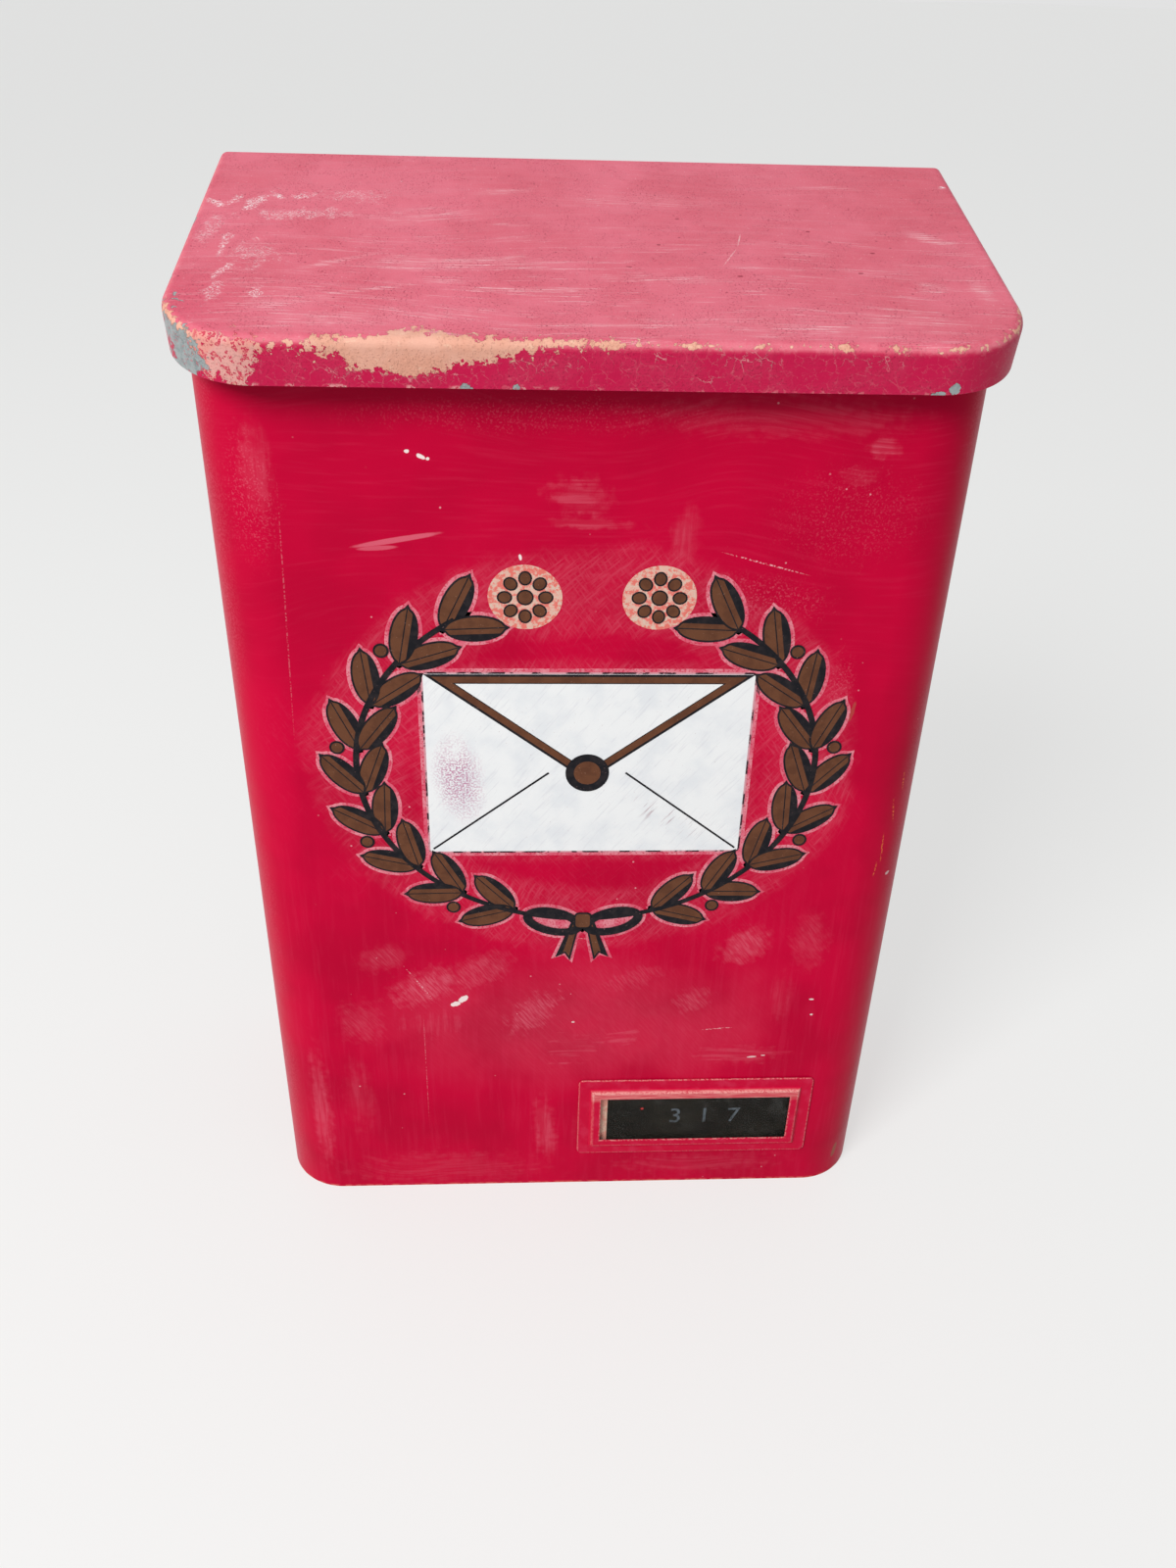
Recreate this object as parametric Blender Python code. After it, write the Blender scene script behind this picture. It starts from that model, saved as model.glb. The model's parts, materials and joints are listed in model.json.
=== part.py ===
"""Wall mailbox of painted sheet steel with a sloping lid on a continuous hinge.

Metres, +Z up, the front faces -Y. The origin lies under the middle of the whole box,
at the level that it stands on.
"""
import bpy
import bmesh
from math import asin, cos, pi, radians, sin, tan
from mathutils import Matrix, Vector

# Overall sizes
BODY_WIDTH = 0.275
BODY_DEPTH = 0.131
TOTAL_HEIGHT = 0.4372
CORNER_RADIUS = 0.0265

# Sheets and the gaps between pieces
SHEET = 0.001
SEAT = 0.0003
HEM_DEPTH = 0.008
HEM_GAP = 0.0003

# Lid
LID_SLOPE = radians(13.5)
LID_SIDE_GAP = 0.0026
LID_OVERHANG = 0.0167
LID_CORNER_RADIUS = 0.0312
LID_BEND = 0.0034
LIP_DEPTH = 0.0164
LID_BEHIND_AXIS = 0.0012

# Continuous hinge
PIN_RADIUS = 0.0014
PIN_CLEARANCE = 0.0003
LEAF_SHEET = 0.0009
LID_LEAF_LENGTH = 0.019
BACK_LEAF_LENGTH = 0.022
HINGE_INSET = 0.022
KNUCKLE_COUNT = 11
KNUCKLE_GAP = 0.0004
LEAF_ROLL = radians(300)
SWING_GAP = 0.0006
PIN_TIP_RADIUS = 0.001

# Back and bottom pans
PAN_BEND = 0.0016
BACK_FLANGE = 0.016
BASE_FLANGE = 0.015
BASE_REAR_RADIUS = 0.004
FLANGE_RELIEF = 0.002
DRAIN_RADIUS = 0.003
DRAIN_INSET_X = 0.045
DRAIN_INSET_Y = 0.030

# Wall screw holes
KEYHOLE_RADIUS = 0.0048
KEYHOLE_SLOT_WIDTH = 0.005
KEYHOLE_SLOT_RISE = 0.010
KEYHOLE_BELOW_AXIS = 0.055
SCREW_HOLE_RADIUS = 0.0028
SCREW_HOLE_HEIGHT = 0.045
SCREW_SPREAD = 0.180

# Rivets
RIVET_RADIUS = 0.0018
RIVET_HOLE_GAP = 0.0003
RIVET_HEAD_RADIUS = 0.0036
RIVET_HEAD_RISE = 0.0015
RIVET_HEAD_CURVE = [(0, 1), (0.5, 0.9), (0.85, 0.55), (1, 0)]
RIVET_TAIL_RADIUS = 0.0029
RIVET_TAIL_RISE = 0.0011
RIVET_TAIL_TIP_RADIUS = 0.002
RIVET_FLUSH_RADIUS = 0.0027
RIVET_FLUSH_DEPTH = 0.0007
RIVET_FLUSH_INSET = 0.0001
SIDE_RIVET_COUNT = 3
SIDE_RIVET_LOW = 0.060
SIDE_RIVET_BELOW_AXIS = 0.070
BASE_RIVET_COUNT = 2
BASE_RIVET_END = 0.036
HINGE_RIVET_COUNT = 5
HINGE_RIVET_END = 0.0105
HINGE_RIVET_DROP = 0.013

# Name holder, measured on the front face
HOLDER_WIDTH = 0.109
HOLDER_HEIGHT = 0.0475
HOLDER_X = 0.055
HOLDER_Z = 0.0452
HOLDER_SHEET = 0.0007
HOLDER_CORNER = 0.0024
HOLDER_FLANGE = 0.0054
BEZEL_SLOPE = 0.0013
BEZEL_FACE = 0.0037
BEZEL_RISE = 0.0028
PANE_THICK = 0.0007
STRIP_THICK = 0.0005
STRIP_BARE_END = 0.0033
STRIP_PLAY = 0.0006
STRIP_LAP = 0.00165
TAB_WIDTH = 0.008
TAB_CLINCH = 0.005

# Fineness of the round shapes
CORNER_STEPS = 12
BEND_STEPS = 4
ROLL_STEPS = 15
TURN_STEPS = 12
HOLE_STEPS = 16
SMOOTH_ANGLE = radians(30)

# Places that follow from the sizes above
KNUCKLE_RADIUS = PIN_RADIUS + PIN_CLEARANCE + LEAF_SHEET
HINGE_LENGTH = BODY_WIDTH - 2 * HINGE_INSET
LID_UNDERSIDE = KNUCKLE_RADIUS + SEAT
LID_TOP = LID_UNDERSIDE + SHEET
LID_HALF_WIDTH = BODY_WIDTH / 2 + LID_SIDE_GAP + SHEET
FRONT_REACH = LID_OVERHANG - LID_BEND * (cos(LID_SLOPE) + sin(LID_SLOPE) - 1)
REAR = (BODY_DEPTH + FRONT_REACH) / 2
FRONT = REAR - BODY_DEPTH
AXIS_Y = REAR - SHEET - SEAT - KNUCKLE_RADIUS
AXIS_Z = TOTAL_HEIGHT - LID_BEHIND_AXIS * sin(LID_SLOPE) - LID_TOP * cos(LID_SLOPE)
AXIS = Vector((0, AXIS_Y, AXIS_Z))
LID_LENGTH = ((AXIS_Y - FRONT + LID_OVERHANG - LID_TOP * sin(LID_SLOPE)) / cos(LID_SLOPE)
              + LID_BEHIND_AXIS)
INNER_HALF_WIDTH = BODY_WIDTH / 2 - SHEET - SEAT
SWING_RADIUS = (LID_TOP ** 2 + LID_BEHIND_AXIS ** 2) ** 0.5 + SWING_GAP
BACK_TOP = AXIS_Z - (SWING_RADIUS ** 2 - (REAR - SHEET - AXIS_Y) ** 2) ** 0.5
RIVET_HOLE = RIVET_RADIUS + RIVET_HOLE_GAP
BASE_RIVET_HEIGHT = (BASE_FLANGE + PAN_BEND) / 2
PAST = 0.01
MERGE = 0.000001
OVERLAP = HOLDER_SHEET / 2
WALL_LEAN = 0.6


def clear_scene():
    for item in list(bpy.data.objects):
        bpy.data.objects.remove(item, do_unlink=True)


def material(name, colour, roughness, metallic=0.0, alpha=1.0):
    made = bpy.data.materials.new(name)
    made.use_nodes = True
    shader = made.node_tree.nodes["Principled BSDF"]
    shader.inputs["Base Color"].default_value = (*colour, 1)
    shader.inputs["Roughness"].default_value = roughness
    shader.inputs["Metallic"].default_value = metallic
    shader.inputs["Alpha"].default_value = alpha
    return made


def finish(name, bm, paint=None):
    """Turn a bmesh into an object whose faces point out."""
    bmesh.ops.remove_doubles(bm, verts=bm.verts, dist=MERGE)
    bmesh.ops.recalc_face_normals(bm, faces=bm.faces)
    mesh = bpy.data.meshes.new(name)
    bm.to_mesh(mesh)
    bm.free()
    mesh.shade_smooth()
    mesh.set_sharp_from_angle(angle=SMOOTH_ANGLE)
    made = bpy.data.objects.new(name, mesh)
    bpy.context.collection.objects.link(made)
    if paint:
        mesh.materials.append(paint)
    return made


def quarter_arc(centre, radius, start, steps):
    """Points of a quarter turn in plan, counted from the angle start."""
    return [(centre[0] + radius * cos(start + pi / 2 * k / steps),
             centre[1] + radius * sin(start + pi / 2 * k / steps)) for k in range(steps + 1)]


def open_outline(half_width, front, rear, radius):
    """Plan of a wall on three sides: left rear, round the front, right rear."""
    left = quarter_arc((-half_width + radius, front + radius), radius, pi, CORNER_STEPS)
    right = quarter_arc((half_width - radius, front + radius), radius, 3 * pi / 2, CORNER_STEPS)
    return [(-half_width, rear)] + left + right + [(half_width, rear)]


def closed_outline(half_width, front, rear, front_radius, rear_radius):
    """Plan of a box with rounded corners, as one loop."""
    corners = [((-half_width, front), (1, 1), front_radius, pi),
               ((half_width, front), (-1, 1), front_radius, 3 * pi / 2),
               ((half_width, rear), (-1, -1), rear_radius, 0),
               ((-half_width, rear), (1, -1), rear_radius, pi / 2)]
    points = []
    for (x, y), (side_x, side_y), radius, start in corners:
        centre = (x + side_x * radius, y + side_y * radius)
        points += quarter_arc(centre, radius, start, CORNER_STEPS)
    return points


def sheet_body(outer, inner, closed_path=False, capped=False):
    """Solid sheet between two matching grids of points, each a list of rows along its path.

    A closed path joins each row's ends. A capped sheet is filled across its first rows.
    """
    bm = bmesh.new()
    rows = [[[bm.verts.new(p) for p in row] for row in grid] for grid in (outer, inner)]
    last = len(outer[0]) - 1
    turns = range(last + 1) if closed_path else range(last)

    def strip(row_a, row_b):
        for j in turns:
            k = (j + 1) % (last + 1)
            bm.faces.new((row_a[j], row_a[k], row_b[k], row_b[j]))

    for grid in rows:
        for row_a, row_b in zip(grid, grid[1:]):
            strip(row_a, row_b)
    strip(rows[0][-1], rows[1][-1])
    if capped:
        bm.faces.new(rows[0][0])
        bm.faces.new(rows[1][0])
        if not closed_path:
            bm.faces.new((rows[0][0][0], rows[0][0][-1], rows[1][0][-1], rows[1][0][0]))
    else:
        strip(rows[0][0], rows[1][0])
    if not closed_path:
        for end in (0, -1):
            for i in range(len(outer) - 1):
                bm.faces.new((rows[0][i][end], rows[0][i + 1][end],
                              rows[1][i + 1][end], rows[1][i][end]))
    return bm


def fold_rows(bend, depth, thick):
    """Insets and depths of a sheet's two faces from its flat part round a bend to its edge."""
    outer, inner = [], []
    for k in range(BEND_STEPS + 1):
        turn = pi / 2 * k / BEND_STEPS
        outer.append((bend * (1 - sin(turn)), bend * (1 - cos(turn))))
        inner.append((bend - (bend - thick) * sin(turn), bend - (bend - thick) * cos(turn)))
    return outer + [(0, depth)], inner + [(thick, depth)]


def extrude_whole(bm, face, way):
    """Grow a flat face into a closed block. The face stays as its foot."""
    grown = bmesh.ops.extrude_face_region(bm, geom=[face], use_keep_orig=True)["geom"]
    moved = [item for item in grown if isinstance(item, bmesh.types.BMVert)]
    bmesh.ops.translate(bm, verts=moved, vec=way)


def add_box(bm, low, high):
    size = Vector(high) - Vector(low)
    middle = (Vector(high) + Vector(low)) / 2
    bmesh.ops.create_cube(bm, size=1, matrix=Matrix.Translation(middle) @ Matrix.Diagonal((*size, 1)))


def along(place, axis):
    """Turn and shift that lay a shape's own Z along an axis through a place."""
    turn = Vector((0, 0, 1)).rotation_difference(Vector(axis)).to_matrix().to_4x4()
    return Matrix.Translation(place) @ turn


def add_rod(bm, centre, axis, radius, length):
    bmesh.ops.create_cone(bm, cap_ends=True, segments=HOLE_STEPS, radius1=radius, radius2=radius,
                          depth=length, matrix=along(centre, axis))


def add_turned(bm, profile, steps, matrix):
    """Profile of radii and heights, turned about the matrix's own Z."""
    points = [bm.verts.new(matrix @ Vector((radius, 0, height))) for radius, height in profile]
    edges = [bm.edges.new(pair) for pair in zip(points, points[1:])]
    axis = matrix.to_3x3() @ Vector((0, 0, 1))
    bmesh.ops.spin(bm, geom=points + edges, cent=matrix.translation, axis=axis, angle=2 * pi,
                   steps=steps, use_duplicate=False)


def add_modifier(target, other, operation):
    made = target.modifiers.new(other.name, 'BOOLEAN')
    made.operation = operation
    made.solver = 'EXACT'
    made.object = other
    other.hide_render = True
    other.display_type = 'WIRE'


def cut(target, bm):
    cutter = finish(target.name + "_cutter", bm)
    add_modifier(target, cutter, 'DIFFERENCE')
    return cutter


def spread(count, first, last):
    return [first + (last - first) * k / max(count - 1, 1) for k in range(count)]


def body_top(y):
    """Height of the body's upper edge, which the closed lid rests on."""
    return AXIS_Z + (y - AXIS_Y) * tan(LID_SLOPE) + KNUCKLE_RADIUS / cos(LID_SLOPE)


def side_rivet_places():
    """Height and depth of the rivets that hold the back pan between the side walls."""
    y = REAR - (BACK_FLANGE + PAN_BEND) / 2
    heights = spread(SIDE_RIVET_COUNT, SIDE_RIVET_LOW, AXIS_Z - SIDE_RIVET_BELOW_AXIS)
    return [(y, z) for z in heights]


def base_rivet_places():
    """Height and depth of the rivets that hold the bottom pan between the side walls."""
    depths = spread(BASE_RIVET_COUNT, FRONT + BASE_RIVET_END, REAR - BASE_RIVET_END)
    return [(y, BASE_RIVET_HEIGHT) for y in depths]


def hinge_rivet_places():
    end = HINGE_LENGTH / 2 - HINGE_RIVET_END
    return [(x, AXIS_Z - HINGE_RIVET_DROP) for x in spread(HINGE_RIVET_COUNT, -end, end)]


def add_cross_holes(bm, places):
    """Holes right across the box for a row of rivets in both sides."""
    for y, z in places:
        add_rod(bm, (0, y, z), (1, 0, 0), RIVET_HOLE, BODY_WIDTH + PAST)


def body_shell(paint):
    """Front and sides from one sheet, with its upper edge folded over inwards."""
    hem = SHEET + HEM_GAP / 2
    outer, inner = [(0, None), (0, hem)], [(SHEET, None), (SHEET, hem)]
    for k in range(1, BEND_STEPS + 1):
        turn = pi * k / BEND_STEPS
        outer.append((hem - hem * cos(turn), hem - hem * sin(turn)))
        inner.append((hem - HEM_GAP / 2 * cos(turn), hem - HEM_GAP / 2 * sin(turn)))
    outer.append((2 * SHEET + HEM_GAP, HEM_DEPTH))
    inner.append((SHEET + HEM_GAP, HEM_DEPTH))

    def row(inset, drop):
        plan = open_outline(BODY_WIDTH / 2 - inset, FRONT + inset, REAR, CORNER_RADIUS - inset)
        return [(x, y, 0 if drop is None else body_top(y) - drop) for x, y in plan]

    bm = sheet_body([row(*r) for r in outer], [row(*r) for r in inner])
    shell = finish("body_shell", bm, paint)

    holes = bmesh.new()
    add_cross_holes(holes, side_rivet_places() + base_rivet_places())
    add_box(holes, (-BODY_WIDTH, AXIS_Y - SWING_GAP, AXIS_Z - SWING_RADIUS),
            (BODY_WIDTH, REAR + PAST, TOTAL_HEIGHT + PAST))
    for side in (-1, 1):
        edge = HOLDER_X + side * HOLDER_WIDTH / 2
        inward = edge - side * HOLDER_SHEET
        low, high = min(edge, inward) - SEAT, max(edge, inward) + SEAT
        add_box(holes, (low, FRONT - PAST, HOLDER_Z - TAB_WIDTH / 2 - SEAT),
                (high, FRONT + PAST, HOLDER_Z + TAB_WIDTH / 2 + SEAT))
    cut(shell, holes)


def back_pan(paint):
    """Flat back between the side walls, with flanges turned forward along them."""
    outer, inner = [], []
    for side in (-1, 1):
        rows_out, rows_in = fold_rows(PAN_BEND, BACK_FLANGE, SHEET)
        for rows, found in ((rows_out, outer), (rows_in, inner)):
            points = [(side * (INNER_HALF_WIDTH - inset), REAR - depth) for inset, depth in rows]
            found += points[::-1] if side < 0 else points
    levels = (0, BACK_TOP)
    bm = sheet_body([[(x, y, z) for z in levels] for x, y in outer],
                    [[(x, y, z) for z in levels] for x, y in inner])
    pan = finish("back_pan", bm, paint)

    holes = bmesh.new()
    add_cross_holes(holes, side_rivet_places())
    flange_top = body_top(REAR - BACK_FLANGE) - HEM_DEPTH - FLANGE_RELIEF
    for side in (-1, 1):
        edges = sorted((side * (INNER_HALF_WIDTH - PAN_BEND - SEAT), side * BODY_WIDTH / 2))
        for low, high in ((-PAST, BASE_FLANGE + FLANGE_RELIEF), (flange_top, TOTAL_HEIGHT)):
            add_box(holes, (edges[0], REAR - BACK_FLANGE - PAST, low), (edges[1], REAR + PAST, high))
        x = side * SCREW_SPREAD / 2
        add_rod(holes, (x, REAR, SCREW_HOLE_HEIGHT), (0, 1, 0), SCREW_HOLE_RADIUS, PAST)
        add_keyhole(holes, x, AXIS_Z - KEYHOLE_BELOW_AXIS)
    for x, z in hinge_rivet_places():
        add_flush_hole(holes, x, z)
    cut(pan, holes)


def add_keyhole(bm, x, z):
    """Round hole for a screw's head with a narrow slot above it."""
    start = asin(KEYHOLE_SLOT_WIDTH / 2 / KEYHOLE_RADIUS)
    turns = [pi / 2 + start + (2 * pi - 2 * start) * k / HOLE_STEPS for k in range(HOLE_STEPS + 1)]
    outline = [(x + KEYHOLE_RADIUS * cos(t), z + KEYHOLE_RADIUS * sin(t)) for t in turns]
    top = z + KEYHOLE_SLOT_RISE
    outline += [(x + KEYHOLE_SLOT_WIDTH / 2, top), (x - KEYHOLE_SLOT_WIDTH / 2, top)]
    face = bm.faces.new([bm.verts.new((px, REAR - PAST, pz)) for px, pz in outline])
    extrude_whole(bm, face, (0, 2 * PAST, 0))


def add_flush_hole(bm, x, z):
    """Hole with a countersink on the rear face, wider than the flush rivet by its hole gap."""
    slope = (RIVET_FLUSH_RADIUS - RIVET_RADIUS) / RIVET_FLUSH_DEPTH
    deep = RIVET_FLUSH_DEPTH + RIVET_FLUSH_INSET
    profile = [(0, SHEET), (RIVET_HOLE + slope * (deep + SHEET), SHEET), (RIVET_HOLE, -deep),
               (RIVET_HOLE, -PAST), (0, -PAST)]
    add_turned(bm, profile, HOLE_STEPS, along((x, REAR, z), (0, 1, 0)))


def bottom_pan(paint):
    """Floor tray with its edges turned up inside the walls."""
    front, rear = FRONT + SHEET + SEAT, REAR - SHEET - SEAT
    rows_out, rows_in = fold_rows(PAN_BEND, BASE_FLANGE, SHEET)
    front_radius = CORNER_RADIUS - SHEET - SEAT

    def row(inset, depth):
        plan = closed_outline(INNER_HALF_WIDTH - inset, front + inset, rear - inset,
                              front_radius - inset, BASE_REAR_RADIUS - inset)
        return [(x, y, depth) for x, y in plan]

    bm = sheet_body([row(*r) for r in rows_out], [row(*r) for r in rows_in],
                    closed_path=True, capped=True)
    pan = finish("bottom_pan", bm, paint)

    holes = bmesh.new()
    add_cross_holes(holes, base_rivet_places())
    for side in (-1, 1):
        for y in (FRONT + DRAIN_INSET_Y, REAR - DRAIN_INSET_Y):
            x = side * (BODY_WIDTH / 2 - DRAIN_INSET_X)
            add_rod(holes, (x, y, 0), (0, 0, 1), DRAIN_RADIUS, PAST)
    cut(pan, holes)


def lid(paint, carrier):
    """Sloping top with a lip down its front and sides, cut upright at the rear."""
    front = LID_BEHIND_AXIS - LID_LENGTH
    rows_out, rows_in = fold_rows(LID_BEND, LIP_DEPTH, SHEET)

    def row(inset, depth):
        rear = LID_BEHIND_AXIS - depth * tan(LID_SLOPE)
        plan = open_outline(LID_HALF_WIDTH - inset, front + inset, rear, LID_CORNER_RADIUS - inset)
        return [(x, y, LID_TOP - depth) for x, y in plan]

    bm = sheet_body([row(*r) for r in rows_out], [row(*r) for r in rows_in], capped=True)
    finish("lid", bm, paint).parent = carrier


def leaf_section(length):
    """Two faces of a hinge leaf: along the plate and round the roll, as distances along the
    plate and out towards the side that it is rolled from."""
    bore = KNUCKLE_RADIUS - LEAF_SHEET
    outer, inner = [(length, KNUCKLE_RADIUS)], [(length, bore)]
    for k in range(ROLL_STEPS + 1):
        turn = LEAF_ROLL * k / ROLL_STEPS
        outer.append((-KNUCKLE_RADIUS * sin(turn), KNUCKLE_RADIUS * cos(turn)))
        inner.append((-bore * sin(turn), bore * cos(turn)))
    return outer, inner


def hinge_leaf(name, paint, length, plate_way, roll_way, first_knuckle):
    """One leaf of the hinge. Its mesh is centred on the pin."""
    plate_way, roll_way = Vector(plate_way), Vector(roll_way)
    half = HINGE_LENGTH / 2
    grids = []
    for face in leaf_section(length):
        places = [along * plate_way + out * roll_way for along, out in face]
        grids.append([[Vector((x, 0, 0)) + place for x in (-half, half)] for place in places])
    leaf = finish(name, sheet_body(*grids), paint)

    holes = bmesh.new()
    pitch = HINGE_LENGTH / KNUCKLE_COUNT
    reach = KNUCKLE_RADIUS + SWING_GAP
    corner_a = -reach * roll_way - reach * plate_way
    corner_b = reach * roll_way + reach * plate_way
    for k in range(1 - first_knuckle, KNUCKLE_COUNT, 2):
        start = -half + k * pitch - KNUCKLE_GAP / 2
        stop = start + pitch + KNUCKLE_GAP
        start -= PAST if k == 0 else 0
        stop += PAST if k == KNUCKLE_COUNT - 1 else 0
        low = [min(a, b) for a, b in zip(corner_a, corner_b)]
        high = [max(a, b) for a, b in zip(corner_a, corner_b)]
        add_box(holes, (start, *low[1:]), (stop, *high[1:]))
    return leaf, holes


def hinge(steel, carrier):
    """Rolled leaves on a long pin: one under the lid, one on the inside of the back."""
    leaf, holes = hinge_leaf("hinge_leaf_lid", steel, LID_LEAF_LENGTH, (0, -1, 0), (0, 0, 1), 0)
    leaf.parent = carrier
    cut(leaf, holes).parent = carrier

    leaf, holes = hinge_leaf("hinge_leaf_back", steel, BACK_LEAF_LENGTH, (0, 0, -1), (0, 1, 0), 1)
    for x, z in hinge_rivet_places():
        add_rod(holes, (x, KNUCKLE_RADIUS, z - AXIS_Z), (0, 1, 0), RIVET_HOLE, KNUCKLE_RADIUS)
    leaf.location = AXIS
    cut(leaf, holes).location = AXIS

    tip = PIN_TIP_RADIUS
    half = HINGE_LENGTH / 2 + KNUCKLE_GAP
    profile = [(0, half + PIN_RADIUS - tip), (tip, half), (PIN_RADIUS, half - tip),
               (PIN_RADIUS, tip - half), (tip, -half), (0, tip - half - PIN_RADIUS)]
    turned("hinge_pin", profile, steel, AXIS, (1, 0, 0))


def turned(name, profile, paint, place, axis):
    """Body turned about its own Z from radii and heights, then laid along an axis."""
    bm = bmesh.new()
    add_turned(bm, profile, TURN_STEPS, Matrix.Identity(4))
    made = finish(name, bm, paint)
    made.matrix_world = along(place, axis)
    return made


def head_profile():
    return [(RIVET_HEAD_RADIUS * out, SEAT + RIVET_HEAD_RISE * up) for out, up in RIVET_HEAD_CURVE]


def rivet(name, steel, place, axis, grip):
    """Round-head rivet through two sheets, with its far end hammered over."""
    far = -grip - SEAT
    profile = head_profile() + [(RIVET_RADIUS, SEAT), (RIVET_RADIUS, far), (RIVET_TAIL_RADIUS, far),
                                (RIVET_TAIL_TIP_RADIUS, far - RIVET_TAIL_RISE),
                                (0, far - RIVET_TAIL_RISE)]
    turned(name, profile, steel, place, axis)


def flush_rivet(name, steel, place, axis, grip):
    """Round-head rivet whose far end fills a countersink, clear of the wall behind the box."""
    far = -grip + RIVET_FLUSH_INSET
    profile = head_profile() + [(RIVET_RADIUS, SEAT), (RIVET_RADIUS, far + RIVET_FLUSH_DEPTH),
                                (RIVET_FLUSH_RADIUS, far), (0, far)]
    turned(name, profile, steel, place, axis)


def rivets(steel):
    wall_grip = 2 * SHEET + SEAT
    for side, word in ((-1, "left"), (1, "right")):
        for stem, places in (("side", side_rivet_places()), ("base", base_rivet_places())):
            for k, (y, z) in enumerate(places, 1):
                place = (side * BODY_WIDTH / 2, y, z)
                rivet(f"{stem}_rivet_{word}_{k}", steel, place, (side, 0, 0), wall_grip)
    leaf_face = REAR - SHEET - SEAT - LEAF_SHEET
    for k, (x, z) in enumerate(hinge_rivet_places(), 1):
        flush_rivet(f"hinge_rivet_{k}", steel, (x, leaf_face, z), (0, -1, 0),
                    LEAF_SHEET + SEAT + SHEET)


def holder_place(inset, rise):
    """Loop of points at an inset from the holder's edge and a rise off the front face."""
    plan = closed_outline(HOLDER_WIDTH / 2 - inset, inset - HOLDER_HEIGHT / 2,
                          HOLDER_HEIGHT / 2 - inset, HOLDER_CORNER, HOLDER_CORNER)
    return [(HOLDER_X + x, FRONT - rise, HOLDER_Z + z) for x, z in plan]


def name_frame(paint):
    """Pressed frame: flat flange, sloping wall and raised face round the window."""
    sheet = HOLDER_SHEET
    foot = SEAT + sheet
    top = BEZEL_RISE
    slope_end = HOLDER_FLANGE + BEZEL_SLOPE
    front = [(0, foot), (HOLDER_FLANGE, foot), (slope_end, top), (slope_end + BEZEL_FACE, top)]
    lean = sheet * WALL_LEAN
    back = [(0, SEAT), (HOLDER_FLANGE + lean, SEAT), (slope_end + lean, top - sheet),
            (slope_end + BEZEL_FACE, top - sheet)]
    bm = sheet_body([holder_place(*r) for r in front], [holder_place(*r) for r in back],
                    closed_path=True)
    frame = finish("name_frame", bm, paint)
    for side, word in ((-1, "left"), (1, "right")):
        add_modifier(frame, clinched_tab("name_frame_tab_" + word, side), 'UNION')


def clinched_tab(name, side):
    """Tab from the flange's end through its slot, folded flat against the inside of the wall."""
    edge = HOLDER_X + side * HOLDER_WIDTH / 2
    sheet = HOLDER_SHEET
    inside = FRONT + SHEET + SEAT
    levels = (HOLDER_Z - TAB_WIDTH / 2, HOLDER_Z + TAB_WIDTH / 2)
    outer = [(edge, FRONT - SEAT - OVERLAP), (edge, inside + sheet),
             (edge - side * (sheet + TAB_CLINCH), inside + sheet)]
    inner = [(edge - side * sheet, FRONT - SEAT - OVERLAP), (edge - side * sheet, inside),
             (edge - side * (sheet + TAB_CLINCH), inside)]
    return finish(name, sheet_body([[(x, y, z) for z in levels] for x, y in outer],
                                   [[(x, y, z) for z in levels] for x, y in inner]))


def plate(name, paint, centre_x, half_width, half_height, corner, low_rise, high_rise):
    """Flat sheet in front of the body, between two rises off its face."""
    plan = closed_outline(half_width, -half_height, half_height, corner, corner)
    bm = bmesh.new()
    face = bm.faces.new([bm.verts.new((centre_x + x, FRONT - low_rise, HOLDER_Z + z))
                         for x, z in plan])
    extrude_whole(bm, face, (0, low_rise - high_rise, 0))
    finish(name, bm, paint)


def name_card(pane_paint, strip_paint):
    """Strip against the body, pushed to the right, and a clear pane over it. The frame's face
    holds both."""
    border = HOLDER_FLANGE + BEZEL_SLOPE + BEZEL_FACE
    left = border - HOLDER_WIDTH / 2 + STRIP_BARE_END
    right = HOLDER_WIDTH / 2 - HOLDER_FLANGE - BEZEL_SLOPE - STRIP_PLAY
    plate("name_strip", strip_paint, HOLDER_X + (left + right) / 2, (right - left) / 2,
          HOLDER_HEIGHT / 2 - border + STRIP_LAP, 0, SEAT, SEAT + STRIP_THICK)
    pocket = HOLDER_FLANGE + BEZEL_SLOPE + WALL_LEAN * HOLDER_SHEET + SEAT
    pane_front = BEZEL_RISE - HOLDER_SHEET - SEAT
    plate("name_pane", pane_paint, HOLDER_X, HOLDER_WIDTH / 2 - pocket,
          HOLDER_HEIGHT / 2 - pocket, HOLDER_CORNER, pane_front - PANE_THICK, pane_front)


def build():
    clear_scene()
    crimson = (0.50, 0.006, 0.035)
    faded = (0.60, 0.11, 0.15)
    zinc = (0.35, 0.37, 0.38)

    lid_axis = bpy.data.objects.new("lid_axis", None)
    bpy.context.collection.objects.link(lid_axis)
    lid_axis.location = AXIS
    lid_axis.rotation_euler = (LID_SLOPE, 0, 0)

    body_shell(material("body_paint", crimson, 0.35))
    back_pan(material("back_paint", crimson, 0.45))
    bottom_pan(material("bottom_paint", crimson, 0.45))
    lid(material("lid_paint", faded, 0.5), lid_axis)
    hinge(material("hinge_steel", zinc, 0.45, 1.0), lid_axis)
    rivets(material("rivet_steel", zinc, 0.4, 1.0))
    name_frame(material("frame_paint", crimson, 0.35))
    name_card(material("clear_pane", (0.9, 0.9, 0.9), 0.1, alpha=0.3),
              material("strip_plastic", (0.012, 0.010, 0.009), 0.35))


build()
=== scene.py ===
import json
from math import cos, pi, radians, sin

import bmesh
import bpy
from mathutils import Matrix, Vector


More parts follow.
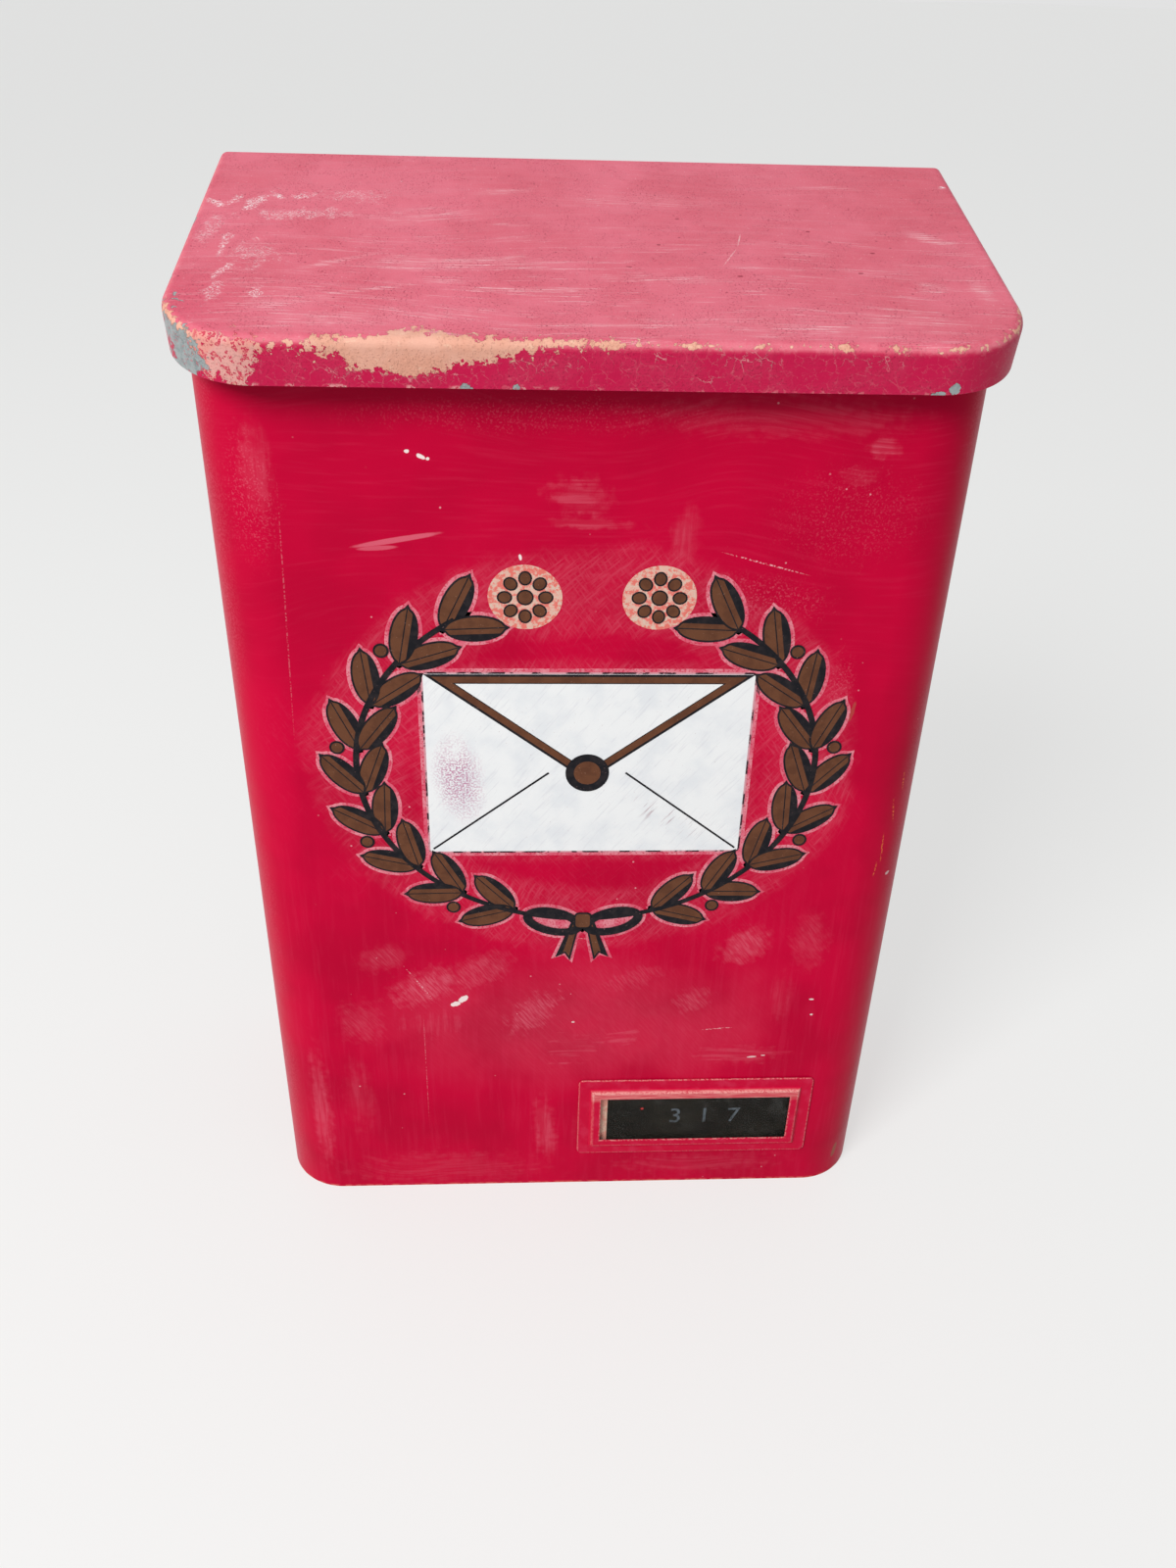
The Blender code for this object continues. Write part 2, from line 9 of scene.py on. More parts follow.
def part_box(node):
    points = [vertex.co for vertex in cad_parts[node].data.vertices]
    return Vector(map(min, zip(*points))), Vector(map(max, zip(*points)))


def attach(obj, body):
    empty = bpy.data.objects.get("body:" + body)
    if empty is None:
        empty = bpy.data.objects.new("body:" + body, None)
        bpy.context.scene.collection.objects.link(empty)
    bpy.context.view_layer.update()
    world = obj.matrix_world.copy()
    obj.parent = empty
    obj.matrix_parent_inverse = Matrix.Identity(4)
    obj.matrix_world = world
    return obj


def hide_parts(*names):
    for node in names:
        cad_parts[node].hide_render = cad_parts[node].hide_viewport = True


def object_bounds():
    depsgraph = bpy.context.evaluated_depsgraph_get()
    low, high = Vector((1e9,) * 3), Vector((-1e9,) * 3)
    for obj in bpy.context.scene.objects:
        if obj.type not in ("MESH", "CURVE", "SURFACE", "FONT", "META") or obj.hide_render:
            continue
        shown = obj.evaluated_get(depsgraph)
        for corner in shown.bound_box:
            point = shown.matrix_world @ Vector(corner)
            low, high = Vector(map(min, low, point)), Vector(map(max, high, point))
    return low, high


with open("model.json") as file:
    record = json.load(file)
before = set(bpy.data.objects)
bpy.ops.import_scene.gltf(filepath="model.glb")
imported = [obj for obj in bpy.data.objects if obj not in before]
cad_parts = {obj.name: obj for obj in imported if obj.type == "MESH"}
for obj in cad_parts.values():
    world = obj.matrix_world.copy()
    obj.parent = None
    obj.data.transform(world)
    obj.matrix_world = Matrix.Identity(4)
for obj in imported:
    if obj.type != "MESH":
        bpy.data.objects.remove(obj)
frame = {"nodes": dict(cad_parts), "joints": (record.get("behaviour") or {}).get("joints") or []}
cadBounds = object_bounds()
mm = 0.001

shellLow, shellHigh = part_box("body_shell")
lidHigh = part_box("lid")[1]
front, back = shellLow.y, shellHigh.y  # the box's front faces -Y
halfWidth = shellHigh.x
hingeAxis = Vector(frame["joints"][0]["pos_m"])
lidSlope = radians(13.5)
sheet = 1 * mm
print("frame loaded:", len(frame["nodes"]), "nodes")


# Picking and editing, as by hand

def select(piece):
    clearPick()
    piece.select_set(True)
    bpy.context.view_layer.objects.active = piece


def clearPick():
    bpy.ops.object.select_all(action='DESELECT')


def placed(name, data):
    piece = bpy.data.objects.new(name, data)
    bpy.context.collection.objects.link(piece)
    return piece


def edit(piece):
    select(piece)
    bpy.ops.object.mode_set(mode='EDIT')


def leaveEdit():
    bpy.ops.object.mode_set(mode='OBJECT')


def pick(piece, kind, test=lambda item: True):  # kind is FACE, EDGE or VERT
    bpy.ops.mesh.select_mode(type=kind)
    bpy.ops.mesh.select_all(action='DESELECT')
    mesh = bmesh.from_edit_mesh(piece.data)
    for item in {'FACE': mesh.faces, 'EDGE': mesh.edges, 'VERT': mesh.verts}[kind]:
        if test(item):
            item.select_set(True)
    mesh.select_flush_mode()
    bmesh.update_edit_mesh(piece.data)


def pickAll():
    bpy.ops.mesh.select_all(action='SELECT')


def middle(item):  # of an edge or a face
    return sum((v.co for v in item.verts), Vector()) / len(item.verts)


def named(name, scale=(1, 1, 1)):  # the primitive that was just added
    piece = bpy.context.object
    piece.name = piece.data.name = name
    piece.scale = scale
    bpy.ops.object.transform_apply(location=True, rotation=True, scale=True)
    return piece


def addCube(name, low, high):
    low, high = Vector(low), Vector(high)
    clearPick()
    bpy.ops.mesh.primitive_cube_add(size=1, location=(low + high) / 2)
    return named(name, high - low)


def cutAt(point, normal, clear=False, fill=False):  # through the piece in edit mode
    bpy.ops.mesh.select_mode(type='FACE')
    pickAll()
    bpy.ops.mesh.bisect(plane_co=point, plane_no=normal, clear_outer=clear, use_fill=fill)


def modify(piece, kind, **settings):
    select(piece)
    made = piece.modifiers.new(kind.title(), kind)
    for name, value in settings.items():
        setattr(made, name, value)
    bpy.ops.object.modifier_apply(modifier=made.name)


def roundRims(piece, width, steps=2, angle=40):
    modify(piece, 'BEVEL', width=width, segments=steps, limit_method='ANGLE', angle_limit=radians(angle))


def smooth(piece, angle=35):  # large flat faces keep their own direction
    select(piece)
    bpy.ops.object.shade_smooth_by_angle(angle=radians(angle))
    modify(piece, 'WEIGHTED_NORMAL', keep_sharp=True)


def coat(piece, materials):
    piece.data.materials.clear()
    for material in materials:
        piece.data.materials.append(material)


def dressed(piece, body, nodes=()):  # a finished piece: attached to its body, its CAD nodes hidden
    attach(piece, body)
    if nodes:
        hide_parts(*nodes)


# Shader maths written as sums

class Wire:  # an output socket of a material's node
    def __init__(self, tree, socket):
        self.tree = tree
        self.socket = socket

    def node(self, kind, settings, sockets, out=0):  # any node: its settings first, then its sockets
        made = self.tree.nodes.new("ShaderNode" + kind)
        for name, value in settings.items():
            if name == "stops":
                ramp = made.color_ramp
                for spot, shade in value[1:-1]:
                    ramp.elements.new(spot)
                for element, (spot, shade) in zip(ramp.elements, value):
                    element.position = spot
                    element.color = (shade, shade, shade, 1)
            else:
                setattr(made, name, value)
        for name, value in sockets.items():
            if isinstance(value, Wire):
                self.tree.links.new(value.socket, made.inputs[name])
            else:
                made.inputs[name].default_value = value
        return Wire(self.tree, made.outputs[out])

    def math(self, operation, first, second=0.0):
        return self.node("Math", {"operation": operation}, {0: first, 1: second})

    def __add__(self, other):
        return self.math('ADD', self, other)

    def __radd__(self, other):
        return self.math('ADD', other, self)

    def __sub__(self, other):
        return self.math('SUBTRACT', self, other)

    def __rsub__(self, other):
        return self.math('SUBTRACT', other, self)

    def __mul__(self, other):
        return self.math('MULTIPLY', self, other)

    def __rmul__(self, other):
        return self.math('MULTIPLY', other, self)

    def __truediv__(self, other):
        return self.math('DIVIDE', self, other)

    def __pow__(self, other):
        return self.math('POWER', self, other)

    def __abs__(self):
        return self.math('ABSOLUTE', self)

    def least(self, other):  # the smaller of two
        return self.math('MINIMUM', self, other)

    def most(self, other):  # the larger of two
        return self.math('MAXIMUM', self, other)

    def rise(self, low, high):  # 0 at low and 1 at high, eased between
        return self.node("MapRange", {"interpolation_type": 'SMOOTHSTEP'},
                         {"Value": self, "From Min": low, "From Max": high})


def length(a, b):
    return (a * a + b * b) ** 0.5


class Paint:  # a material in layers, in mm from the origin
    def __init__(self, name, origin=(0, 0, 0), turn=(0, 0, 0), roughness=0.4, metallic=0.0,
                 specular=0.4, ior=1.45):
        self.material = bpy.data.materials.new(name)
        self.material.use_nodes = True
        self.material.diffuse_color = (0.5, 0.02, 0.06, 1)
        self.tree = self.material.node_tree
        self.shader = self.tree.nodes["Principled BSDF"]
        values = {"Roughness": roughness, "Metallic": metallic, "Specular IOR Level": specular, "IOR": ior}
        for socket, value in values.items():
            self.shader.inputs[socket].default_value = value
        place = Wire(self.tree, self.tree.nodes.new("ShaderNodeTexCoord").outputs["Object"])
        self.space = place.node("Mapping", {"vector_type": 'TEXTURE'},
                                {"Vector": place, "Location": origin, "Rotation": turn, "Scale": (mm, mm, mm)})

    def axes(self):
        return [self.space.node("SeparateXYZ", {}, {0: self.space}, out) for out in range(3)]

    def noise(self, *form, **more):
        return grain(self.space, *form, **more)

    def cells(self, *form, **more):
        return cells(self.space, *form, **more)

    def moved(self, **by):  # the space pushed along its axes
        return self.space.node("VectorMath", {"operation": 'ADD'}, {
            0: self.space, 1: self.space.node("CombineXYZ", {}, by)})

    def base(self, mask, under, over):
        self.colour = blend(mask, under, over)

    def over(self, mask, tint):
        self.colour = blend(mask, self.colour, tint)

    def done(self, roughness=None, height=None, strength=1.0, distance=0.1 * mm, soft=None,
             metallic=None, alpha=None):
        wires = {"Base Color": self.colour, "Roughness": roughness, "Metallic": metallic, "Alpha": alpha,
                 "Normal": height and bump(height, strength, distance, soft)}
        for socket, wire in wires.items():
            if wire:
                self.tree.links.new(wire.socket, self.shader.inputs[socket])
        return self.material


def grain(place, size, stretch=(1, 1, 1), turn=(0, 0, 0), shift=0.0, detail=3.0, rough=0.55):
    scale = tuple(1 / (size * s) for s in stretch)  # the feature's size in mm, longer where stretched
    turned = place.node("Mapping", {"vector_type": 'POINT'}, {"Vector": place, "Rotation": turn})
    laid = place.node("Mapping", {"vector_type": 'POINT'},
                      {"Vector": turned, "Location": (shift, shift * 1.7, shift * 0.6), "Scale": scale})
    return place.node("TexNoise", {}, {"Vector": laid, "Scale": 1.0, "Detail": detail, "Roughness": rough})


def cells(place, size, feature='F1', shift=0.0):
    scale = (1 / size, 1 / size, 1 / size)
    laid = place.node("Mapping", {"vector_type": 'POINT'},
                      {"Vector": place, "Location": (shift, shift, shift), "Scale": scale})
    return place.node("TexVoronoi", {"feature": feature}, {"Vector": laid, "Scale": 1.0})


def blend(factor, under, over):
    def filled(colour):
        return colour if isinstance(colour, Wire) else (*colour, 1)
    return factor.node("Mix", {"data_type": 'RGBA'},
                       {0: factor, 6: filled(under), 7: filled(over)}, 2)


def bump(height, strength=1.0, distance=0.1 * mm, normal=None):
    sockets = {"Height": height, "Strength": strength, "Distance": distance}
    if normal:
        sockets["Normal"] = normal
    return height.node("Bump", {}, sockets)


# Body: front and sides from one sheet, its upper edge folded over inwards

shellForm = {
    "corner": 26.5 * mm,
    "cornerSteps": 28,
    "hemDepth": 8 * mm,
    "hemGap": 0.3 * mm,
    "notchDepth": 4.5 * mm,  # clears the lid's swing at the wall
    "notchHeight": 428.4 * mm,
    "topAtFront": 405.29 * mm,
    "rim": 0.2 * mm,
}


def makeShell(outside, inside):
    form = shellForm
    up = Vector((0, -sin(lidSlope), cos(lidSlope)))
    edgePoint = Vector((0, front, form["topAtFront"]))
    shell = addCube("bodyShell", (-halfWidth, front, 0), (halfWidth, back, cadBounds[1][2]))
    coat(shell, [outside, inside])
    edit(shell)
    pick(shell, 'FACE', lambda f: abs(f.normal.z) > 0.9 or f.normal.y > 0.9)
    bpy.ops.mesh.delete(type='FACE')
    pick(shell, 'EDGE', lambda e: abs(e.verts[0].co.x - e.verts[1].co.x) < mm
         and abs(middle(e).y - front) < mm)
    bpy.ops.mesh.bevel(offset=form["corner"], segments=form["cornerSteps"], affect='EDGES')
    cutAt(edgePoint, up, clear=True)
    notchY = back - form["notchDepth"]
    cutAt((0, notchY, 0), (0, 1, 0))
    cutAt((0, 0, form["notchHeight"]), (0, 0, 1))
    pick(shell, 'FACE', lambda f: middle(f).y > notchY and middle(f).z > form["notchHeight"])
    bpy.ops.mesh.delete(type='FACE')

    # the fold: a copy of the top band, moved in and joined over the edge
    hemPoint = edgePoint - up * form["hemDepth"]
    fold = 2 * sheet + form["hemGap"]
    cutAt(hemPoint, up)
    pick(shell, 'FACE', lambda f: (middle(f) - hemPoint).dot(up) > 0 and middle(f).y < notchY)
    bpy.ops.mesh.duplicate()
    bpy.ops.transform.shrink_fatten(value=-fold)
    bpy.ops.mesh.flip_normals()
    def onEdge(item):
        return all(abs((v.co - edgePoint).dot(up)) < 0.8 * mm for v in item.verts)
    pick(shell, 'EDGE', lambda e: onEdge(e) and e.is_boundary)
    bpy.ops.mesh.bridge_edge_loops()
    pick(shell, 'EDGE', lambda e: onEdge(e) and not e.is_boundary
         and (e.verts[0].co - e.verts[1].co).length > 0 and sum(onEdge(f) for f in e.link_faces) == 1)
    bpy.ops.mesh.bevel(offset=0.9 * fold / 2, segments=4, affect='EDGES')
    pickAll()
    bpy.ops.mesh.remove_doubles(threshold=0.01 * mm)
    bpy.ops.mesh.normals_make_consistent(inside=False)
    leaveEdit()
    if any(f.center.y < front + 0.01 * mm and f.normal.y > 0.5 for f in shell.data.polygons):
        shell.data.flip_normals()
    modify(shell, 'SOLIDIFY', thickness=sheet, offset=-1, material_offset=1)
    roundRims(shell, form["rim"])
    smooth(shell)
    dressed(shell, "box", ["body_shell"])
    print("body shell:", len(shell.data.polygons), "faces")
    return shell


# Lid: a sloping plate with a lip down its front and sides

lidForm = {
    "halfWidth": 141.1 * mm,
    "frontEdge": -146.95 * mm,  # along the slope from the hinge axis
    "rearEdge": 1.2 * mm,
    "top": 3.9 * mm,  # over the hinge axis
    "lip": 16.4 * mm,
    "corner": 31.2 * mm,
    "cornerSteps": 32,
    "bend": 3.4 * mm,
    "bendSteps": 7,
    "rim": 0.22 * mm,
}


def makeLid(outside, inside):
    form = lidForm
    frontEdge, top = form["frontEdge"], form["top"]
    plate = addCube("lidPlate", (-form["halfWidth"], frontEdge, top - form["lip"]),
                    (form["halfWidth"], form["rearEdge"] + 2 * form["lip"], top))
    coat(plate, [outside, inside])
    edit(plate)
    pick(plate, 'FACE', lambda f: f.normal.z < -0.9 or f.normal.y > 0.9)
    bpy.ops.mesh.delete(type='FACE')
    pick(plate, 'EDGE', lambda e: abs(e.verts[0].co.x - e.verts[1].co.x) < mm
         and abs(e.verts[0].co.y - e.verts[1].co.y) < mm)
    bpy.ops.mesh.bevel(offset=form["corner"], segments=form["cornerSteps"], affect='EDGES')
    pick(plate, 'EDGE', lambda e: all(abs(v.co.z - top) < 0.01 * mm for v in e.verts)
         and not e.is_boundary)
    bpy.ops.mesh.bevel(offset=form["bend"], segments=form["bendSteps"], affect='EDGES')
    pickAll()
    bpy.ops.transform.rotate(value=-lidSlope, orient_axis='X', center_override=(0, 0, 0))
    bpy.ops.transform.translate(value=hingeAxis)
    leaveEdit()
    if max(v.co.z for v in plate.data.vertices) < hingeAxis.z:
        raise ValueError("the lid slopes the wrong way")
    modify(plate, 'SOLIDIFY', thickness=sheet, offset=-1, use_even_offset=True, material_offset=1)
    edit(plate)
    cutAt((0, lidHigh.y, 0), (0, 1, 0), clear=True, fill=True)
    leaveEdit()
    roundRims(plate, form["rim"])
    smooth(plate)
    dressed(plate, "lid", ["lid"])
    print("lid:", len(plate.data.polygons), "faces")
    return plate


# Name holder: pressed frame, black strip with faint digits, clear pane

holderForm = {
    "width": 109 * mm,
    "height": 47.5 * mm,
    "corner": 2.4 * mm,
    "sheet": 0.7 * mm,
    "flange": 5.4 * mm,
    "slope": 1.3 * mm,
    "face": 3.7 * mm,
    "rim": 0.3 * mm,
    "digits": "3  1  7",
    "digitHeight": 13 * mm,
    "stripRim": 0.15 * mm,
    "paneRim": 0.12 * mm,
    "digitDepth": 0.05 * mm,
    "digitsRight": 5 * mm,
    "tab": 8 * mm,  # through the front at each end, folded flat inside
    "clinch": 5 * mm,
    "gap": 0.3 * mm,
}


def makeCover(node, name, rim, paint):
    cover = addCube(name, *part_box(node))
    roundRims(cover, rim)
    smooth(cover)
    coat(cover, [paint])
    dressed(cover, "box", [node])


def makeHolder(framePaint, stripBlack, digitGrey, pane):
    form = holderForm
    low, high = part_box("name_frame")
    centreX, centreZ = (low.x + high.x) / 2, (low.z + high.z) / 2
    face = low.y
    foot = front - form["gap"] - form["sheet"]
    clearPick()
    bpy.ops.mesh.primitive_plane_add(size=1, location=(centreX, foot, centreZ), rotation=(pi / 2, 0, 0))
    holder = named("nameHolder", (form["width"], form["height"], 1))
    edit(holder)
    pick(holder, 'FACE')
    bpy.ops.mesh.inset(thickness=form["flange"], depth=0)
    bpy.ops.mesh.inset(thickness=form["slope"], depth=foot - face)
    bpy.ops.mesh.inset(thickness=form["face"], depth=0)
    bpy.ops.mesh.delete(type='FACE')
    leaveEdit()
    modify(holder, 'SOLIDIFY', thickness=form["sheet"], offset=-1, use_even_offset=True)
    edit(holder)
    pick(holder, 'EDGE', lambda e: abs(abs(middle(e).x - centreX) - form["width"] / 2) < 0.1 * mm
         and abs(abs(middle(e).z - centreZ) - form["height"] / 2) < 0.1 * mm)
    bpy.ops.mesh.bevel(offset=form["corner"], segments=5, affect='EDGES')
    leaveEdit()
    roundRims(holder, form["rim"], 3, 20)
    smooth(holder)
    tabs = []
    for side in (-1, 1):
        edge, thick = centreX + side * form["width"] / 2, form["sheet"]
        inner, insideWall = edge - side * thick, front + sheet + form["gap"]
        tab = addCube("tab", (min(edge, inner), foot + thick / 2, centreZ - form["tab"] / 2),
                      (max(edge, inner), insideWall + thick, centreZ + form["tab"] / 2))
        edit(tab)
        cutAt((0, insideWall, 0), (0, 1, 0))
        pick(tab, 'FACE', lambda f: f.normal.x * side < -0.9 and middle(f).y > insideWall)
        bpy.ops.mesh.extrude_region_move(TRANSFORM_OT_translate={"value": (-side * form["clinch"], 0, 0)})
        leaveEdit()
        tabs.append(tab)
    select(holder)
    for tab in tabs:
        tab.select_set(True)
    bpy.ops.object.join()
    coat(holder, [framePaint])
    dressed(holder, "box", ["name_frame"])

    makeCover("name_strip", "nameStrip", form["stripRim"], stripBlack)
    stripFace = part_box("name_strip")[0].y
    clearPick()
    bpy.ops.object.text_add(location=(centreX + form["digitsRight"], stripFace, centreZ),
                            rotation=(pi / 2, 0, 0))
    text = bpy.context.object
    text.data.body = form["digits"]
    text.data.size = form["digitHeight"]
    text.data.align_x, text.data.align_y = 'CENTER', 'CENTER'
    text.data.extrude = form["digitDepth"]
    bpy.ops.object.convert(target='MESH')
    digits = named("nameDigits")
    coat(digits, [digitGrey])
    dressed(digits, "box")

    makeCover("name_pane", "namePane", form["paneRim"], pane)
    print("name holder made")


# Rivets: one of each kind, copied to its places

rivetForm = {
    "headCurve": [(0.35, 0.97), (0.62, 0.84), (0.83, 0.60), (0.95, 0.32), (1.0, 0.08), (0.985, 0.0)],
    "headRadius": 3.6 * mm,
    "headRise": 1.5 * mm,
    "gap": 0.3 * mm,
    "sideEnd": [(1.8, 0.3), (1.8, -2.6), (2.9, -2.6), (2.9, -2.9), (2.0, -3.7)],  # radius and height in mm
    "hingeEnd": [(1.8, 0.3), (1.8, -1.4), (2.7, -2.1)],
    "steps": 32,
}


def turnedPiece(name, rings):  # rings of radius and height, from the top down
    radius, height = rings[0]
    clearPick()
    bpy.ops.mesh.primitive_circle_add(vertices=rivetForm["steps"], radius=radius, fill_type='TRIFAN',
                                      location=(0, 0, height))
    piece = named(name)
    edit(piece)
    pick(piece, 'EDGE', lambda e: e.is_boundary)
    for (before, high), (after, low) in zip(rings, rings[1:]):
        bpy.ops.mesh.extrude_edges_move(TRANSFORM_OT_translate={"value": (0, 0, low - high)})
        bpy.ops.transform.resize(value=(after / before, after / before, 1), center_override=(0, 0, low))
    bpy.ops.mesh.edge_face_add()
    pickAll()
    bpy.ops.mesh.normals_make_consistent(inside=False)
    leaveEdit()
    smooth(piece, 40)
    return piece


def makeRivets(paint):
    form = rivetForm
    radius, rise, gap = form["headRadius"], form["headRise"], form["gap"]
    head = [(radius * out, gap + rise * up) for out, up in form["headCurve"]]
    count = 0
    for kind, end in {"side_rivet": "sideEnd", "hinge_rivet": "hingeEnd", "base_rivet": "sideEnd"}.items():
        first = turnedPiece(kind, head + [(wide * mm, high * mm) for wide, high in form[end]])
        for node in sorted(n for n in frame["nodes"] if n.startswith(kind)):
            low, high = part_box(node)
            spotAt = (low + high) / 2
            if kind == "hinge_rivet":
                spotAt.y = low.y + gap + rise
                way = Vector((0, -1, 0))
            else:
                way = Vector((1 if spotAt.x > 0 else -1, 0, 0))
                spotAt.x = way.x * halfWidth
            copy = placed(node + "_dressed", first.data.copy())
            turn = Vector((0, 0, 1)).rotation_difference(way).to_matrix().to_4x4()
            copy.data.transform(Matrix.Translation(spotAt) @ turn)
            coat(copy, [paint])
            dressed(copy, "box", [node])
            count += 1
        bpy.data.objects.remove(first)
    print("rivets:", count)


# Back, floor, hinge: the frame's own sheets, merged, with fine rims

sheetPieces = {
    "back_pan": ("backPanel", "box", "back_paint"),
    "bottom_pan": ("floorTray", "box", "back_paint"),
    "hinge_leaf_lid": ("hingeLeafLid", "lid", "zinc_steel"),
    "hinge_leaf_back": ("hingeLeafBack", "box", "zinc_steel"),
    "hinge_pin": ("hingePin", "box", "zinc_steel"),
}


def makeSheets(materials):
    for node, (name, body, slot) in sheetPieces.items():
        piece = placed(name, frame["nodes"][node].data.copy())
        edit(piece)
        pickAll()
        bpy.ops.mesh.remove_doubles(threshold=0.001 * mm)
        bpy.ops.mesh.dissolve_limited(angle_limit=radians(0.5))
        leaveEdit()
        roundRims(piece, 0.12 * mm, 2, 50)
        smooth(piece)
        coat(piece, [materials[slot]])
        dressed(piece, body, [node])
    print("sheets dressed:", len(sheetPieces))


# Emblem: a white envelope in an open wreath, laid on the front as thin films of paint

emblemForm = {
    "centreZ": 238 * mm,
    "film": 0.16 * mm,
    "halo": 1.5 * mm,  # the pale rim where the red paint stops short
    "haloFilm": 0.05 * mm,
    "line": 0.75 * mm,  # dark outlines
    "envelope": (126 * mm, 82 * mm),
    "wreath": (88 * mm, 74 * mm),  # half sizes, to the stem
    "lastAngle": 52,  # where the wreath's leaves end, in degrees
}


def onFront(piece, x, z, turn, rise):  # lays a piece made flat on the floor on the box's front
    flat = Matrix.Rotation(pi / 2, 4, 'X')
    spin = Matrix.Rotation(-turn, 4, 'Y')
    piece.data.transform(Matrix.Translation((x, front - rise, z)) @ spin @ flat)
    return piece


def flatPlate(name, width, height, corner=0.0):
    clearPick()
    bpy.ops.mesh.primitive_plane_add(size=1)
    plate = named(name, (width, height, 1))
    if corner:
        edit(plate)
        pickAll()
        bpy.ops.mesh.bevel(offset=corner, segments=4, affect='VERTICES')
        leaveEdit()
    return plate


def flatDisc(name, width, height, corners=28):
    clearPick()
    bpy.ops.mesh.primitive_circle_add(vertices=corners, radius=0.5, fill_type='NGON')
    return named(name, (width, height, 1))


def assign(piece, slot):  # a colour to the selected faces
    piece.active_material_index = slot
    bpy.ops.object.material_slot_assign()


def ring(piece, width, slot):  # a border round the selected faces, in another colour
    bpy.ops.mesh.inset(thickness=width, depth=0)
    inner = [f.index for f in bmesh.from_edit_mesh(piece.data).faces if f.select]
    pick(piece, 'FACE', lambda f: f.index in inner or f.material_index)
    bpy.ops.mesh.select_all(action='INVERT')
    assign(piece, slot)
    pick(piece, 'FACE', lambda f: f.index in inner)


def bordered(piece, paints, *borders):  # a flat piece in its colours, each border's width and slot
    coat(piece, paints)
    edit(piece)
    pick(piece, 'FACE')
    for width, slot in borders:
        if slot is None:
            bpy.ops.mesh.inset(thickness=width, depth=0)
        else:
            ring(piece, width, slot)
    leaveEdit()
    return piece


def recolour(piece, slot, test=lambda item: True):
    pick(piece, 'FACE', test)
    assign(piece, slot)


def placedCopy(source, x, z, turn, rise):
    copy = placed("copy", source.data.copy())
    return onFront(copy, x, z, turn, rise)


def joined(name, pieces):
    clearPick()
    for piece in pieces:
        piece.select_set(True)
    bpy.context.view_layer.objects.active = pieces[0]
    bpy.ops.object.join()
    pieces[0].name = pieces[0].data.name = name
    dressed(pieces[0], "box")
    return pieces[0]


def film(piece, thick):  # gives a flat piece its thickness, downwards
    modify(piece, 'SOLIDIFY', thickness=thick, offset=-1)
    return piece


def laid(piece, thick, *place):
    return onFront(film(piece, thick), *place)


wreathForm = {
    "leaf": (25 * mm, 10.5 * mm),
    "pairs": 9,
    "firstAngle": -71,
    "splay": 31,
    "reach": 0.47,  # from the stem to a leaf's middle, in leaf lengths
    "berryRadius": 2.9 * mm,
    "berryAway": 8.5 * mm,
    "stem": 2.0 * mm,
    "stemPast": 6,  # degrees past the last leaf
}


def makeLeaf(paints, grow=0.0):
    form = wreathForm
    half, wide = form["leaf"][0] / 2 + grow, form["leaf"][1] / 2 + grow
    line = emblemForm["line"]
    leaf = flatDisc("leaf", 1.8 * half, 2 * wide)
    coat(leaf, paints)
    edit(leaf)
    for way in (-1, 1):
        pick(leaf, 'VERT', lambda v: v.co.x * way > half * 0.89)
        bpy.ops.transform.translate(value=(way * half * 0.12, 0, 0))
    if not grow:
        pick(leaf, 'FACE')
        ring(leaf, line, 1)
        for height in (0.3 * line, -0.3 * line, -0.42 * wide):
            cutAt((0, height, 0), (0, 1, 0))
        recolour(leaf, 1, lambda f: abs(middle(f).y) < 0.25 * line
                 or middle(f).y < -0.45 * wide and middle(f).x < 0.3 * half)
    leaveEdit()
    return leaf


